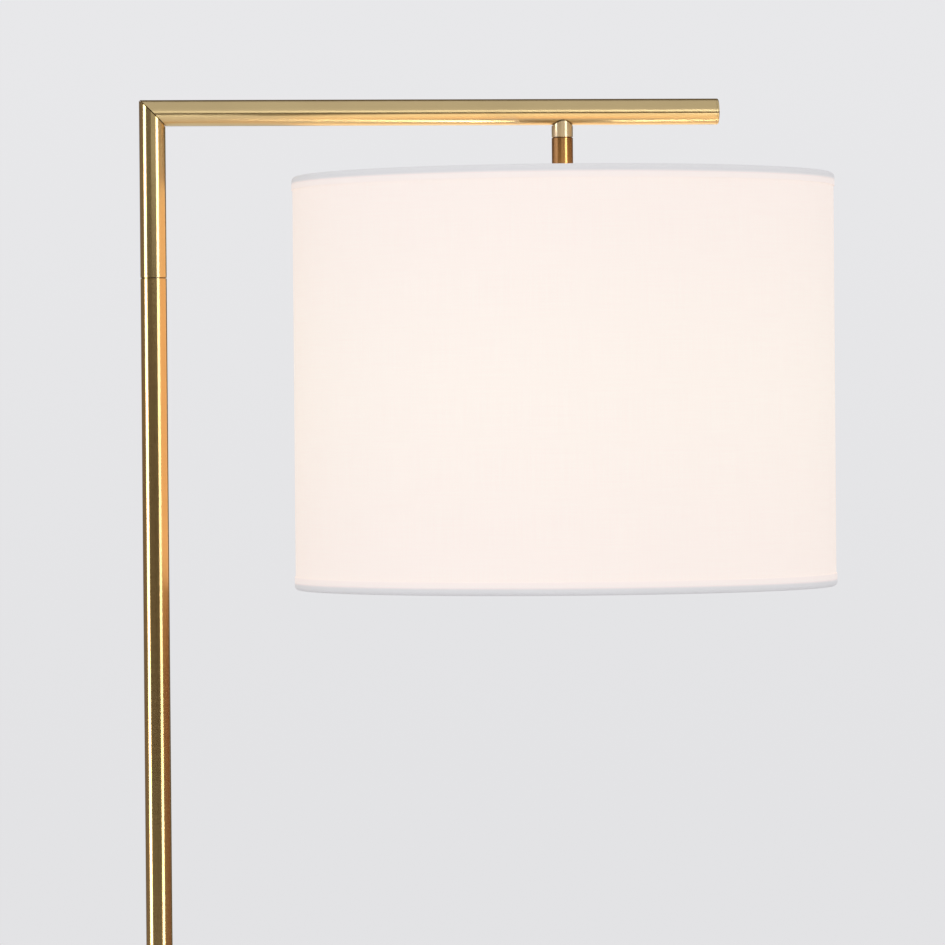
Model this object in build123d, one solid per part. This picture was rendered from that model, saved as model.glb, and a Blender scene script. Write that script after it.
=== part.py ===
from build123d import *
from math import asin, atan2, cos, hypot, sin
import os

# Standing lamp: weighted round base, screwed tube post, mitred arm, hung drum shade.
# Millimetres. The origin is on the floor at the post's axis, +Z up, the arm along +X.

# Post, arm and stem
TUBE_DIAMETER = 16.0
TUBE_WALL = 1.0
SECTION_LENGTH = 450.0
SECTION_COUNT = 3
LEG_RISE = 100.5
ARM_REACH = 348.0
HANG_REACH = 251.5
STEM_DIAMETER = 13.0
STEM_WALL = 1.0
STUB_DROP = 7.7
STEM_LENGTH = 31.0
EDGE_BREAK = 0.3
END_CAP_THICKNESS = 1.4
END_CAP_SPIGOT = 6.0
END_CAP_BREAK = 0.4

# Threaded inserts that screw the post together
POST_THREAD_DIAMETER = 10.0
POST_THREAD_BORE = 6.6
SOCKET_LENGTH = 14.0
STUD_PLUG_LENGTH = 12.0
STUD_LENGTH = 11.0

# Threaded pipe that joins the stub, the stem and the lamp holder
STEM_THREAD_DIAMETER = 8.0
STEM_THREAD_BORE = 5.4
STUB_BUSH_LENGTH = 7.0
STEM_PIPE_ENGAGEMENT = 6.0

# Inner lead
LEAD_DIAMETER = 4.0
LEAD_CORNER_RADIUS = 16.0
LEAD_TEE_RADIUS = 10.0
LEAD_BASE_RADIUS = 4.0
LEAD_HOLE_DIAMETER = 9.0
LEAD_TAIL = 46.0

# Base
BASE_DIAMETER = 254.0
BASE_HEIGHT = 22.0
BASE_SHEET = 1.2
BASE_EDGE_RADIUS = 5.0
COVER_LIFT = 1.5
PAD_THICKNESS = 3.0
PAD_MARGIN = 0.8
WEIGHT_CLEARANCE = 0.4
NUT_POCKET_DIAMETER = 32.0
NUT_POCKET_ROOF = 15.0
CHANNEL_WIDTH = 9.2
CHANNEL_HEIGHT = 8.6
COLLAR_FOOT_DIAMETER = 30.0
COLLAR_TOP_DIAMETER = 20.0
COLLAR_HEIGHT = 9.0
COLLAR_FOOT_HEIGHT = 2.0
COLLAR_CLEARANCE = 0.1
WASHER_DIAMETER = 24.0
WASHER_THICKNESS = 1.5
BASE_NUT_WIDTH = 17.0
BASE_NUT_THICKNESS = 4.0
THREAD_END = 0.5

# Cord gland in the rim of the base, and the connector behind it
GLAND_BORE = 6.4
GLAND_SLEEVE_DIAMETER = 8.2
GLAND_FLANGE_DIAMETER = 11.4
GLAND_FLANGE_THICKNESS = 1.8
GLAND_SLEEVE_INSET = 6.0
CONNECTOR_LENGTH = 18.0
CONNECTOR_WIDTH = 8.4
CONNECTOR_HEIGHT = 7.4

# Lamp holder
HOLDER_DIAMETER = 36.0
HOLDER_WALL = 1.0
CAP_HEIGHT = 14.0
CAP_ROUND = 9.0
CAP_NUT_WIDTH = 13.0
CAP_NUT_THICKNESS = 3.0
BODY_BAND = 20.0
BODY_SPIGOT = 3.0
SKIRT_FLANGE_DIAMETER = 40.0
SKIRT_FLANGE_THICKNESS = 2.5
SKIRT_DIAMETER = 33.0
SKIRT_BORE = 29.0
SKIRT_LENGTH = 26.0
SCREW_SHELL_BORE = 27.0
SCREW_SHELL_INSET = 1.5
CONTACT_THICKNESS = 0.5
CONTACT_WIDTH = 6.0
CONTACT_FOOT = 7.0
CONTACT_TONGUE = 8.0
CONTACT_SPRING = 1.6
SHADE_RING_HEIGHT = 8.0
SHADE_RING_DIAMETER = 44.0
SHADE_RING_RIM_DIAMETER = 49.0
SHADE_RING_RIM_HEIGHT = 2.2
SHADE_RING_GRIPS = 12
SHADE_RING_GRIP_RADIUS = 2.2

# Turn-knob switch
SHAFT_DIAMETER = 4.0
SHAFT_CLEARANCE = 0.05
SHAFT_SEAT = 7.0
KNOB_DIAMETER = 13.0
KNOB_LENGTH = 17.0
KNOB_GAP = 1.5
KNOB_ROUND = 1.2
KNOB_FLUTES = 10
KNOB_FLUTE_RADIUS = 1.3
KNOB_FLUTE_DEPTH = 0.6
KNOB_SHAFT_DEPTH = 11.0

# Bulb with a screw cap
BULB_DIAMETER = 60.0
BULB_LENGTH = 110.0
BULB_WALL = 1.2
BULB_CAP_DIAMETER = 26.4
BULB_CAP_LENGTH = 21.0
BULB_EYELET_DIAMETER = 9.6
BULB_EYELET_HEIGHT = 1.2
BULB_INSULATOR_HEIGHT = 4.0
BULB_INSULATOR_DIAMETER = 21.0
BULB_NECK_STEP = 0.6
BULB_CONTACT_GAP = 0.15

# Drum shade
SHADE_DIAMETER = 333.0
SHADE_HEIGHT = 253.0
SHADE_DROP = 39.0
SHADE_WALL = 0.8
TRIM_THICKNESS = 0.6
TRIM_HEIGHT = 8.0
TRIM_TURN_IN = 1.6
WIRE_DIAMETER = 3.0
WIRE_PLAY = 0.2
FITTER_THICKNESS = 2.0
FITTER_WIDTH = 10.5
FITTER_CLEARANCE = 0.3
FITTER_PLAY = 0.1
SPOKE_COUNT = 3
SPOKE_FIRST_ANGLE = 90.0
SPOKE_FLANGE_GAP = 2.0
SPOKE_FLAT_RADIUS = 50.0
SPOKE_RISE_END = 14.0
SPOKE_FOOT_BEND = 10.0
SPOKE_RIM_BEND = 6.0

# Levels that follow from the driving sizes, counted from the floor
tube_radius = TUBE_DIAMETER / 2
tube_bore = tube_radius - TUBE_WALL
stem_radius = STEM_DIAMETER / 2
stem_bore = stem_radius - STEM_WALL
post_thread = POST_THREAD_DIAMETER / 2
stem_thread = STEM_THREAD_DIAMETER / 2
section_levels = [BASE_HEIGHT + index * SECTION_LENGTH for index in range(SECTION_COUNT + 1)]
leg_level = section_levels[-1]
arm_level = leg_level + LEG_RISE
stub_level = arm_level - tube_radius - STUB_DROP
stem_level = stub_level - STEM_LENGTH
cap_level = stem_level - CAP_HEIGHT
band_level = cap_level - BODY_BAND
flange_level = band_level - SKIRT_FLANGE_THICKNESS
mouth_level = flange_level - SKIRT_LENGTH
knob_level = cap_level - BODY_BAND / 2
eyelet_level = flange_level - CONTACT_THICKNESS - CONTACT_SPRING - BULB_CONTACT_GAP
pipe_level = stem_level - HOLDER_WALL - CAP_NUT_THICKNESS - THREAD_END
fitter_top = flange_level - FITTER_PLAY
fitter_level = fitter_top - FITTER_THICKNESS
ring_top = fitter_level - FITTER_PLAY
gland_level = PAD_THICKNESS + CHANNEL_HEIGHT / 2
connector_level = PAD_THICKNESS + CONNECTOR_HEIGHT / 2
shade_top = arm_level - SHADE_DROP
shade_bottom = shade_top - SHADE_HEIGHT
shade_middle = (shade_top + shade_bottom) / 2

FROM_BELOW = (Align.CENTER, Align.CENTER, Align.MIN)
hang_axis = Pos(HANG_REACH, 0, 0)
knob_axis = Pos(HANG_REACH, 0, knob_level) * Rot(90, 0, 0)


def rod(radius, low, high):
    """Round bar on the Z axis between two levels."""
    return Pos(0, 0, low) * Cylinder(radius, high - low, align=FROM_BELOW)


def ring(outer, inner, low, high):
    """Plain sleeve on the Z axis between two levels."""
    return rod(outer, low, high) - rod(inner, low, high)


def turned(*outline):
    """Solid turned about the Z axis from a closed outline of (radius, level) points."""
    return revolve(Plane.XZ * make_face(Polyline(*outline, close=True)), Axis.Z)


def tube(outer, wall, low, high):
    """Tube on the Z axis whose outer end edges are broken, so that a joint shows as a fine line."""
    inner = outer - wall
    edge = outer - EDGE_BREAK
    return turned(
        (inner, low), (edge, low), (outer, low + EDGE_BREAK),
        (outer, high - EDGE_BREAK), (edge, high), (inner, high),
    )


def hex_nut(width, bore, low, high):
    """Hexagon nut on the Z axis between two levels."""
    prism = extrude(RegularPolygon(width / 2, 6, major_radius=False), high - low)
    return Pos(0, 0, low) * prism - rod(bore, low, high)


def wire_along(points, radii, diameter):
    """Round wire along straight runs that are joined by tangent arcs."""
    path = FilletPolyline(*points, radius=radii)
    section = Plane(origin=path @ 0, z_dir=path % 0) * Circle(diameter / 2)
    return sweep(section, path)


def base_form(inset):
    """Round-edged disc of the base, drawn in by an even inset, from the cover's lower edge up."""
    disc = rod(BASE_DIAMETER / 2 - inset, COVER_LIFT, BASE_HEIGHT - inset)
    return fillet(disc.edges().group_by(Axis.Z)[-1], BASE_EDGE_RADIUS - inset)


def base_parts():
    """Stamped cover, cast weight, foot pad and the hardware that holds the post to them."""
    rim = BASE_DIAMETER / 2
    gland_axis = Pos(0, 0, gland_level) * Rot(-90, 0, 0)
    gland_hole = gland_axis * rod(GLAND_SLEEVE_DIAMETER / 2, 0, rim + GLAND_FLANGE_THICKNESS)
    cover = base_form(0) - base_form(BASE_SHEET)
    cover -= rod(post_thread, 0, BASE_HEIGHT)
    cover -= gland_hole

    weight_top = BASE_HEIGHT - BASE_SHEET
    weight = rod(rim - BASE_SHEET - WEIGHT_CLEARANCE, PAD_THICKNESS, weight_top)
    weight = chamfer(weight.edges().group_by(Axis.Z)[-1], BASE_EDGE_RADIUS)
    weight -= rod(NUT_POCKET_DIAMETER / 2, PAD_THICKNESS, NUT_POCKET_ROOF)
    weight -= rod(post_thread, PAD_THICKNESS, weight_top)
    weight -= Pos(0, 0, PAD_THICKNESS) * Box(
        CHANNEL_WIDTH, rim, CHANNEL_HEIGHT, align=(Align.CENTER, Align.MIN, Align.MIN))

    pad = rod(rim - BASE_SHEET - PAD_MARGIN, 0, PAD_THICKNESS)

    washer_level = NUT_POCKET_ROOF - WASHER_THICKNESS
    nut_level = washer_level - BASE_NUT_THICKNESS
    washer = ring(WASHER_DIAMETER / 2, post_thread, washer_level, NUT_POCKET_ROOF)
    nut = hex_nut(BASE_NUT_WIDTH, post_thread, nut_level, washer_level)
    nipple = ring(post_thread, POST_THREAD_BORE / 2, nut_level - THREAD_END, BASE_HEIGHT + STUD_LENGTH)

    collar_bore = tube_radius + COLLAR_CLEARANCE
    foot_top = BASE_HEIGHT + COLLAR_FOOT_HEIGHT
    collar = turned(
        (collar_bore, BASE_HEIGHT), (COLLAR_FOOT_DIAMETER / 2, BASE_HEIGHT),
        (COLLAR_FOOT_DIAMETER / 2, foot_top), (COLLAR_TOP_DIAMETER / 2, BASE_HEIGHT + COLLAR_HEIGHT),
        (collar_bore, BASE_HEIGHT + COLLAR_HEIGHT),
    )

    sleeve_start = rim - BASE_SHEET - GLAND_SLEEVE_INSET
    flange_end = rim + GLAND_FLANGE_THICKNESS
    gland = rod(GLAND_SLEEVE_DIAMETER / 2, sleeve_start, flange_end)
    gland += rod(GLAND_FLANGE_DIAMETER / 2, rim - BASE_SHEET / 2, flange_end)
    gland = gland_axis * (gland - rod(GLAND_BORE / 2, sleeve_start, flange_end)) - cover

    connector = Pos(0, LEAD_TAIL, PAD_THICKNESS) * Box(
        CONNECTOR_WIDTH, CONNECTOR_LENGTH, CONNECTOR_HEIGHT,
        align=(Align.CENTER, Align.MIN, Align.MIN))
    return {
        "base_cover": cover,
        "base_weight": weight,
        "base_pad": pad,
        "base_washer": washer,
        "base_locknut": nut,
        "base_nipple": nipple,
        "post_collar": collar,
        "cord_gland": gland,
        "lead_connector": connector,
    }


def post_parts():
    """Equal tube sections, each with a threaded socket in its foot and a stud in its head."""
    parts = {}
    for index, (low, high) in enumerate(zip(section_levels, section_levels[1:]), start=1):
        parts[f"post_section_{index}"] = tube(tube_radius, TUBE_WALL, low, high)
        plug = rod(tube_bore, high - STUD_PLUG_LENGTH, high) + rod(post_thread, high, high + STUD_LENGTH)
        bore = rod(POST_THREAD_BORE / 2, high - STUD_PLUG_LENGTH, high + STUD_LENGTH)
        parts[f"post_stud_{index}"] = plug - bore
    for index, low in enumerate(section_levels, start=1):
        parts[f"post_socket_{index}"] = ring(tube_bore, post_thread, low, low + SOCKET_LENGTH)
    return parts


def arm_parts():
    """Post head and arm mitred to one another, the arm's end cap and the coped stub below it."""
    mitre = Plane(origin=(0, 0, arm_level), z_dir=(1, 0, 1))
    along_arm = Pos(0, 0, arm_level) * Rot(0, 90, 0)
    arm_end = ARM_REACH - END_CAP_THICKNESS

    leg = tube(tube_radius, TUBE_WALL, leg_level, arm_level + TUBE_DIAMETER)
    leg = split(leg, bisect_by=mitre, keep=Keep.BOTTOM)

    arm = along_arm * tube(tube_radius, TUBE_WALL, -TUBE_DIAMETER, arm_end)
    arm = split(arm, bisect_by=mitre, keep=Keep.TOP)
    arm -= hang_axis * rod(LEAD_HOLE_DIAMETER / 2, arm_level - TUBE_DIAMETER, arm_level)

    cap_edge = tube_radius - END_CAP_BREAK
    cap = along_arm * turned(
        (0, arm_end - END_CAP_SPIGOT), (tube_bore, arm_end - END_CAP_SPIGOT), (tube_bore, arm_end),
        (tube_radius, arm_end), (tube_radius, ARM_REACH - END_CAP_BREAK),
        (cap_edge, ARM_REACH), (0, ARM_REACH),
    )

    stub = hang_axis * tube(stem_radius, STEM_WALL, stub_level, arm_level)
    stub -= along_arm * rod(tube_radius, 0, ARM_REACH)
    bush = hang_axis * ring(stem_bore, stem_thread, stub_level, stub_level + STUB_BUSH_LENGTH)
    return {
        "corner_leg": leg,
        "arm_tube": arm,
        "arm_end_cap": cap,
        "hang_stub": stub,
        "hang_bush": bush,
    }


def stem_parts():
    """Short stem under the stub and the threaded pipe inside it."""
    stem = tube(stem_radius, STEM_WALL, stem_level, stub_level)
    pipe = ring(stem_thread, STEM_THREAD_BORE / 2, pipe_level, stub_level + STEM_PIPE_ENGAGEMENT)
    return {"hang_tube": hang_axis * stem, "hang_nipple": hang_axis * pipe}


def lead_part():
    """Two-core lead held in the tubes, from the base connector to the lamp holder."""
    lead_end = cap_level + BODY_SPIGOT
    points = [
        (0, LEAD_TAIL, connector_level), (0, 0, connector_level), (0, 0, arm_level),
        (HANG_REACH, 0, arm_level), (HANG_REACH, 0, lead_end),
    ]
    radii = [LEAD_BASE_RADIUS, LEAD_CORNER_RADIUS, LEAD_TEE_RADIUS]
    return {"inner_lead": wire_along(points, radii, LEAD_DIAMETER)}


def holder_parts():
    """Bell cap, switch body, threaded skirt, screw shell, contact and the ring that clamps a shade."""
    outer = HOLDER_DIAMETER / 2
    inner = outer - HOLDER_WALL
    bell = rod(outer, cap_level, stem_level)
    bell = fillet(bell.edges().group_by(Axis.Z)[-1], CAP_ROUND)
    hollow = rod(inner, cap_level, stem_level - HOLDER_WALL)
    hollow = fillet(hollow.edges().group_by(Axis.Z)[-1], CAP_ROUND - HOLDER_WALL)
    cap = bell - hollow - rod(stem_thread, cap_level, stem_level)
    nut_top = stem_level - HOLDER_WALL
    nut = hex_nut(CAP_NUT_WIDTH, stem_thread, nut_top - CAP_NUT_THICKNESS, nut_top)

    body = rod(outer, band_level, cap_level) + rod(inner, cap_level, cap_level + BODY_SPIGOT)
    body += rod(SKIRT_BORE / 2, flange_level, band_level)
    body = hang_axis * body
    shaft_bore = SHAFT_DIAMETER / 2 + SHAFT_CLEARANCE
    body -= knob_axis * rod(shaft_bore, outer - SHAFT_SEAT - SHAFT_CLEARANCE, outer)

    skirt = turned(
        (SKIRT_BORE / 2, band_level), (SKIRT_FLANGE_DIAMETER / 2, band_level),
        (SKIRT_FLANGE_DIAMETER / 2, flange_level), (SKIRT_DIAMETER / 2, flange_level),
        (SKIRT_DIAMETER / 2, mouth_level), (SKIRT_BORE / 2, mouth_level),
    )
    shell = ring(SKIRT_BORE / 2, SCREW_SHELL_BORE / 2, mouth_level + SCREW_SHELL_INSET, flange_level)

    leaf = make_face(Polyline(
        (-CONTACT_FOOT, flange_level), (0, flange_level),
        (CONTACT_TONGUE / 2, flange_level - CONTACT_SPRING),
        (CONTACT_TONGUE, flange_level - CONTACT_SPRING / 2),
        (CONTACT_TONGUE, flange_level - CONTACT_SPRING / 2 - CONTACT_THICKNESS),
        (CONTACT_TONGUE / 2, flange_level - CONTACT_SPRING - CONTACT_THICKNESS),
        (0, flange_level - CONTACT_THICKNESS), (-CONTACT_FOOT, flange_level - CONTACT_THICKNESS),
        close=True))
    contact = Pos(-CONTACT_TONGUE / 2, 0, 0) * extrude(Plane.XZ * leaf, CONTACT_WIDTH / 2, both=True)

    rim_level = ring_top - SHADE_RING_RIM_HEIGHT
    clamp = rod(SHADE_RING_DIAMETER / 2, ring_top - SHADE_RING_HEIGHT, rim_level)
    grip = rod(SHADE_RING_GRIP_RADIUS, ring_top - SHADE_RING_HEIGHT, rim_level)
    clamp -= PolarLocations(SHADE_RING_DIAMETER / 2 + SHADE_RING_GRIP_RADIUS / 2, SHADE_RING_GRIPS) * grip
    clamp += rod(SHADE_RING_RIM_DIAMETER / 2, rim_level, ring_top)
    clamp -= rod(SKIRT_DIAMETER / 2, ring_top - SHADE_RING_HEIGHT, ring_top)
    return {
        "holder_cap": hang_axis * cap,
        "holder_locknut": hang_axis * nut,
        "holder_body": body,
        "holder_skirt": hang_axis * skirt,
        "holder_screw_shell": hang_axis * shell,
        "holder_contact": hang_axis * contact,
        "shade_ring": hang_axis * clamp,
    }


def switch_parts():
    """Fluted knob on the shaft of the turn switch, towards the front."""
    face = HOLDER_DIAMETER / 2
    knob_start = face + KNOB_GAP
    knob_end = knob_start + KNOB_LENGTH
    shaft_end = knob_start + KNOB_SHAFT_DEPTH
    shaft = rod(SHAFT_DIAMETER / 2, face - SHAFT_SEAT, shaft_end)
    knob = rod(KNOB_DIAMETER / 2, knob_start, knob_end)
    knob = fillet(knob.edges().group_by(Axis.Z)[-1], KNOB_ROUND)
    flute = rod(KNOB_FLUTE_RADIUS, knob_start, knob_end)
    flute_circle = KNOB_DIAMETER / 2 + KNOB_FLUTE_RADIUS - KNOB_FLUTE_DEPTH
    knob -= PolarLocations(flute_circle, KNOB_FLUTES) * flute
    knob -= rod(SHAFT_DIAMETER / 2, knob_start, shaft_end)
    return {"switch_shaft": knob_axis * shaft, "switch_knob": knob_axis * knob}


def bulb_parts():
    """Screw-cap bulb hung cap upwards: eyelet, insulator, cap, and frosted glass neck and globe."""
    cap_radius = BULB_CAP_DIAMETER / 2
    eyelet_low = eyelet_level - BULB_EYELET_HEIGHT
    insulator_low = eyelet_low - BULB_INSULATOR_HEIGHT
    cap_low = insulator_low - BULB_CAP_LENGTH
    radius = BULB_DIAMETER / 2
    centre = eyelet_level - BULB_LENGTH + radius
    neck_radius = cap_radius + BULB_NECK_STEP
    neck_rise = cap_low - centre
    touch_angle = asin(radius / hypot(neck_radius, neck_rise)) - atan2(neck_radius, neck_rise)
    touch_radius = radius * cos(touch_angle)
    touch_level = centre + radius * sin(touch_angle)

    eyelet = rod(BULB_EYELET_DIAMETER / 2, eyelet_low, eyelet_level)
    insulator = turned(
        (0, insulator_low), (BULB_INSULATOR_DIAMETER / 2, insulator_low),
        (BULB_EYELET_DIAMETER / 2, eyelet_low), (0, eyelet_low),
    )
    cap = rod(cap_radius, cap_low, insulator_low)
    neck = turned(
        (neck_radius - BULB_WALL, cap_low), (neck_radius, cap_low),
        (touch_radius, touch_level), (touch_radius - BULB_WALL, touch_level),
    )
    globe = Pos(0, 0, centre) * (Sphere(radius) - Sphere(radius - BULB_WALL))
    globe -= rod(radius, touch_level, cap_low)
    return {
        "bulb_contact": hang_axis * eyelet,
        "bulb_insulator": hang_axis * insulator,
        "bulb_cap": hang_axis * cap,
        "bulb_collar": hang_axis * neck,
        "bulb_globe": hang_axis * globe,
    }


def trim_part():
    """Cloth trim of the upper rim: it wraps from the outside of the wall over the wire and inwards."""
    outer = SHADE_DIAMETER / 2
    turn_radius = (SHADE_WALL + WIRE_DIAMETER + WIRE_PLAY) / 2 + TRIM_THICKNESS
    inner_turn = turn_radius - TRIM_THICKNESS
    middle = outer - turn_radius
    turn_level = shade_top - turn_radius
    low = shade_top - TRIM_HEIGHT
    hem_level = turn_level - TRIM_TURN_IN
    outline = [
        Line((outer, low), (outer, turn_level)),
        ThreePointArc((outer, turn_level), (middle, shade_top), (middle - turn_radius, turn_level)),
        Line((middle - turn_radius, turn_level), (middle - turn_radius, hem_level)),
        Line((middle - turn_radius, hem_level), (middle - inner_turn, hem_level)),
        Line((middle - inner_turn, hem_level), (middle - inner_turn, turn_level)),
        ThreePointArc(
            (middle - inner_turn, turn_level), (middle, turn_level + inner_turn),
            (middle + inner_turn, turn_level)),
        Line((middle + inner_turn, turn_level), (middle + inner_turn, low)),
        Line((middle + inner_turn, low), (outer, low)),
    ]
    return revolve(Plane.XZ * make_face(outline), Axis.Z)


def shade_parts():
    """Drum wall, rolled trims over wire hoops, and the spoked fitter that carries them."""
    wall_outer = SHADE_DIAMETER / 2 - TRIM_THICKNESS
    wall_inner = wall_outer - SHADE_WALL
    wire_radius = wall_inner - WIRE_DIAMETER / 2
    wire_inset = TRIM_THICKNESS + (SHADE_WALL + WIRE_DIAMETER + WIRE_PLAY) / 2
    wire_top = shade_top - wire_inset
    wire_bottom = shade_bottom + wire_inset
    mid_plane = Plane.XY.offset(shade_middle)
    top_trim = trim_part()
    wire = Torus(wire_radius, WIRE_DIAMETER / 2)
    top_wire = Pos(0, 0, wire_top) * wire
    parts = {
        "shade_drum": ring(wall_outer, wall_inner, wire_bottom, wire_top),
        "shade_trim_top": top_trim,
        "shade_trim_bottom": mirror(top_trim, about=mid_plane),
        "shade_wire_top": top_wire,
        "shade_wire_bottom": Pos(0, 0, wire_bottom) * wire,
    }

    fitter_bore = SKIRT_DIAMETER / 2 + FITTER_CLEARANCE
    parts["shade_fitter"] = ring(fitter_bore + FITTER_WIDTH, fitter_bore, fitter_level, fitter_top)
    spoke_level = fitter_top + WIRE_DIAMETER / 2
    points = [
        (SKIRT_FLANGE_DIAMETER / 2 + SPOKE_FLANGE_GAP, 0, spoke_level),
        (SPOKE_FLAT_RADIUS, 0, spoke_level),
        (wire_radius, 0, wire_top - SPOKE_RISE_END),
        (wire_radius, 0, wire_top),
    ]
    spoke = wire_along(points, [SPOKE_FOOT_BEND, SPOKE_RIM_BEND], WIRE_DIAMETER) - top_wire
    for index in range(SPOKE_COUNT):
        angle = SPOKE_FIRST_ANGLE + index * 360 / SPOKE_COUNT
        parts[f"shade_spoke_{index + 1}"] = Rot(0, 0, angle) * spoke
    return {name: hang_axis * part for name, part in parts.items()}


def lamp_parts():
    """Every piece of the lamp by its name."""
    parts = {}
    for group in (
        base_parts, post_parts, arm_parts, stem_parts, lead_part,
        holder_parts, switch_parts, bulb_parts, shade_parts,
    ):
        parts.update(group())
    return parts


os.makedirs("parts", exist_ok=True)
for part_name, solid in lamp_parts().items():
    export_step(solid, f"parts/{part_name}.step")
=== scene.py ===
"""Dresses the standing lamp: brass tube frame, weighted base, lamp holder, bulb and lit drum shade."""
import logging
import math
from dataclasses import dataclass, field
from enum import Enum
from functools import cached_property
from typing import Callable, Optional, Sequence, Union

import bmesh
import bpy
from mathutils import Matrix, Vector


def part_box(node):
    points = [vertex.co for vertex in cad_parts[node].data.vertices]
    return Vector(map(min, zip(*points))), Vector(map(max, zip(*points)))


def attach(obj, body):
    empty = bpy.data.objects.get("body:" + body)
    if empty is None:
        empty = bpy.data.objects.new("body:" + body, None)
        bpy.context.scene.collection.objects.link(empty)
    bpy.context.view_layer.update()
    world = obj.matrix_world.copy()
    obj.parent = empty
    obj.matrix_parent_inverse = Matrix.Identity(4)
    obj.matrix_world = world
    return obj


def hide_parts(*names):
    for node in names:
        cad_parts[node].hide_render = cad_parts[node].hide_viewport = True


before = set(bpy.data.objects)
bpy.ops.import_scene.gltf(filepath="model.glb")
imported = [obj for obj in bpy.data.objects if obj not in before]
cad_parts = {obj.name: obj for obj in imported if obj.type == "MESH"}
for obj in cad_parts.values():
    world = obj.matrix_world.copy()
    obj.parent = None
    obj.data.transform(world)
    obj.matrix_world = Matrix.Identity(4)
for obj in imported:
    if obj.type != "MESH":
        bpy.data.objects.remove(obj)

Pair = tuple[float, float]
Triple = tuple[float, float, float]
Colour = Triple
Point = Pair
Corner = Triple
Shaper = Callable[[Vector], Vector]
Value = Union[float, tuple, bpy.types.NodeSocket]

LOG = logging.getLogger("lamp")
SURFACE_MAP = "surface"
SHARP_ANGLE = math.radians(32)
RIGHT_ANGLE = math.radians(90)
FULL_TURN = 2 * math.pi
AXIS_TOUCH = 1e-7
LEVEL_TOUCH = 1e-5
PAST_EDGE = 1.2
BLACK = (0.0, 0.0, 0.0)

# Steps of what is round or woven
DRILL_STEPS = 48
THREAD_STEPS = 48
RIDGE_STEPS = 10
BEND_STEPS = 8
WIRE_STEPS = 16
SHEET_COLUMNS = 361
SHEET_ROWS = 25


# Where things stand


@dataclass(frozen=True)
class Span:
    """Where a CAD node stands at rest, in metres."""

    low: Vector
    high: Vector

    @classmethod
    def of(cls, node: str) -> "Span":
        """Return the span of one CAD node."""
        low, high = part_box(node)
        return cls(Vector(low), Vector(high))

    @property
    def radius(self) -> float:
        """Half of the width from front to back."""
        return (self.high.y - self.low.y) / 2

    @property
    def bottom(self) -> float:
        """Lowest level."""
        return self.low.z

    @property
    def top(self) -> float:
        """Highest level."""
        return self.high.z

    @property
    def middle(self) -> float:
        """Level halfway up."""
        return (self.low.z + self.high.z) / 2


def hang_place(level: float = 0.0) -> Matrix:
    """Return the frame on the axis that the shade hangs from, at a level."""
    axis = Span.of("hang_tube")
    return Matrix.Translation(((axis.low.x + axis.high.x) / 2, 0.0, level))


# Mesh making


def rounded(corners: Sequence[Corner], steps: int = 6) -> list[Point]:
    """Round the corners of an outline.

    Args:
        corners: Corners (radius, level, round); a round of 0 stays sharp.
        steps: Number of steps in each arc.

    Returns:
        Points (radius, level) of the outline.
    """
    points = []
    for index, (radius, level, bend) in enumerate(corners):
        here = Vector((radius, level))
        if bend <= 0:
            points.append((radius, level))
            continue
        before = (Vector(corners[index - 1][:2]) - here).normalized()
        after = (Vector(corners[(index + 1) % len(corners)][:2]) - here).normalized()
        half = before.angle(after) / 2
        centre = here + (before + after).normalized() * (bend / math.sin(half))
        start = here + before * (bend / math.tan(half)) - centre
        end = here + after * (bend / math.tan(half)) - centre
        first = math.atan2(start.y, start.x)
        swing = math.remainder(math.atan2(end.y, end.x) - first, FULL_TURN)
        for step in range(steps + 1):
            angle = first + swing * step / steps
            points.append((centre.x + bend * math.cos(angle), centre.y + bend * math.sin(angle)))
    return points


def arc(centre: Point, radius: float, start: float, end: float, steps: int) -> list[Point]:
    """Return the points of an arc of an outline, with its angles in degrees."""
    angles = [math.radians(start + (end - start) * step / steps) for step in range(steps + 1)]
    return [(max(centre[0] + radius * math.cos(a), 0.0), centre[1] + radius * math.sin(a)) for a in angles]


def placed(name: str, data: bpy.types.ID) -> bpy.types.Object:
    """Return a new object of a mesh, lamp or camera, linked to the scene.

    Args:
        name: Name of the object.
        data: What it shows.

    Returns:
        The object, at the origin.
    """
    thing = bpy.data.objects.new(name, data)
    bpy.context.scene.collection.objects.link(thing)
    return thing


def evaluated(piece: bpy.types.Object) -> bpy.types.Mesh:
    """Return a plain mesh of an object with its modifiers applied."""
    depsgraph = bpy.context.evaluated_depsgraph_get()
    return bpy.data.meshes.new_from_object(
        piece.evaluated_get(depsgraph), preserve_all_data_layers=True, depsgraph=depsgraph)


def harden(piece: bpy.types.Object) -> None:
    """Turn an object's modifiers into its own mesh."""
    piece.data = evaluated(piece)
    piece.modifiers.clear()


def settled(name: str, mesh: bpy.types.Mesh, cutter: Optional[bpy.types.Object] = None) -> bpy.types.Object:
    """Make an object of a mesh, with smooth shading that keeps flat faces flat.

    Args:
        name: Name of the piece.
        mesh: Its mesh, already in place.
        cutter: Optional shape that is drilled out of it and then removed.

    Returns:
        The object, with no modifier left on it.
    """
    mesh.name = name
    piece = placed(name, mesh)
    if cutter is not None:
        drill = piece.modifiers.new("drill", "BOOLEAN")
        drill.object = cutter
        drill.solver = "EXACT"
        harden(piece)
        bpy.data.objects.remove(cutter)
    piece.data.shade_smooth()
    piece.data.set_sharp_from_angle(angle=SHARP_ANGLE)
    even = piece.modifiers.new("even normals", "WEIGHTED_NORMAL")
    even.keep_sharp = True
    harden(piece)
    piece.data.name = name
    return piece


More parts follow.
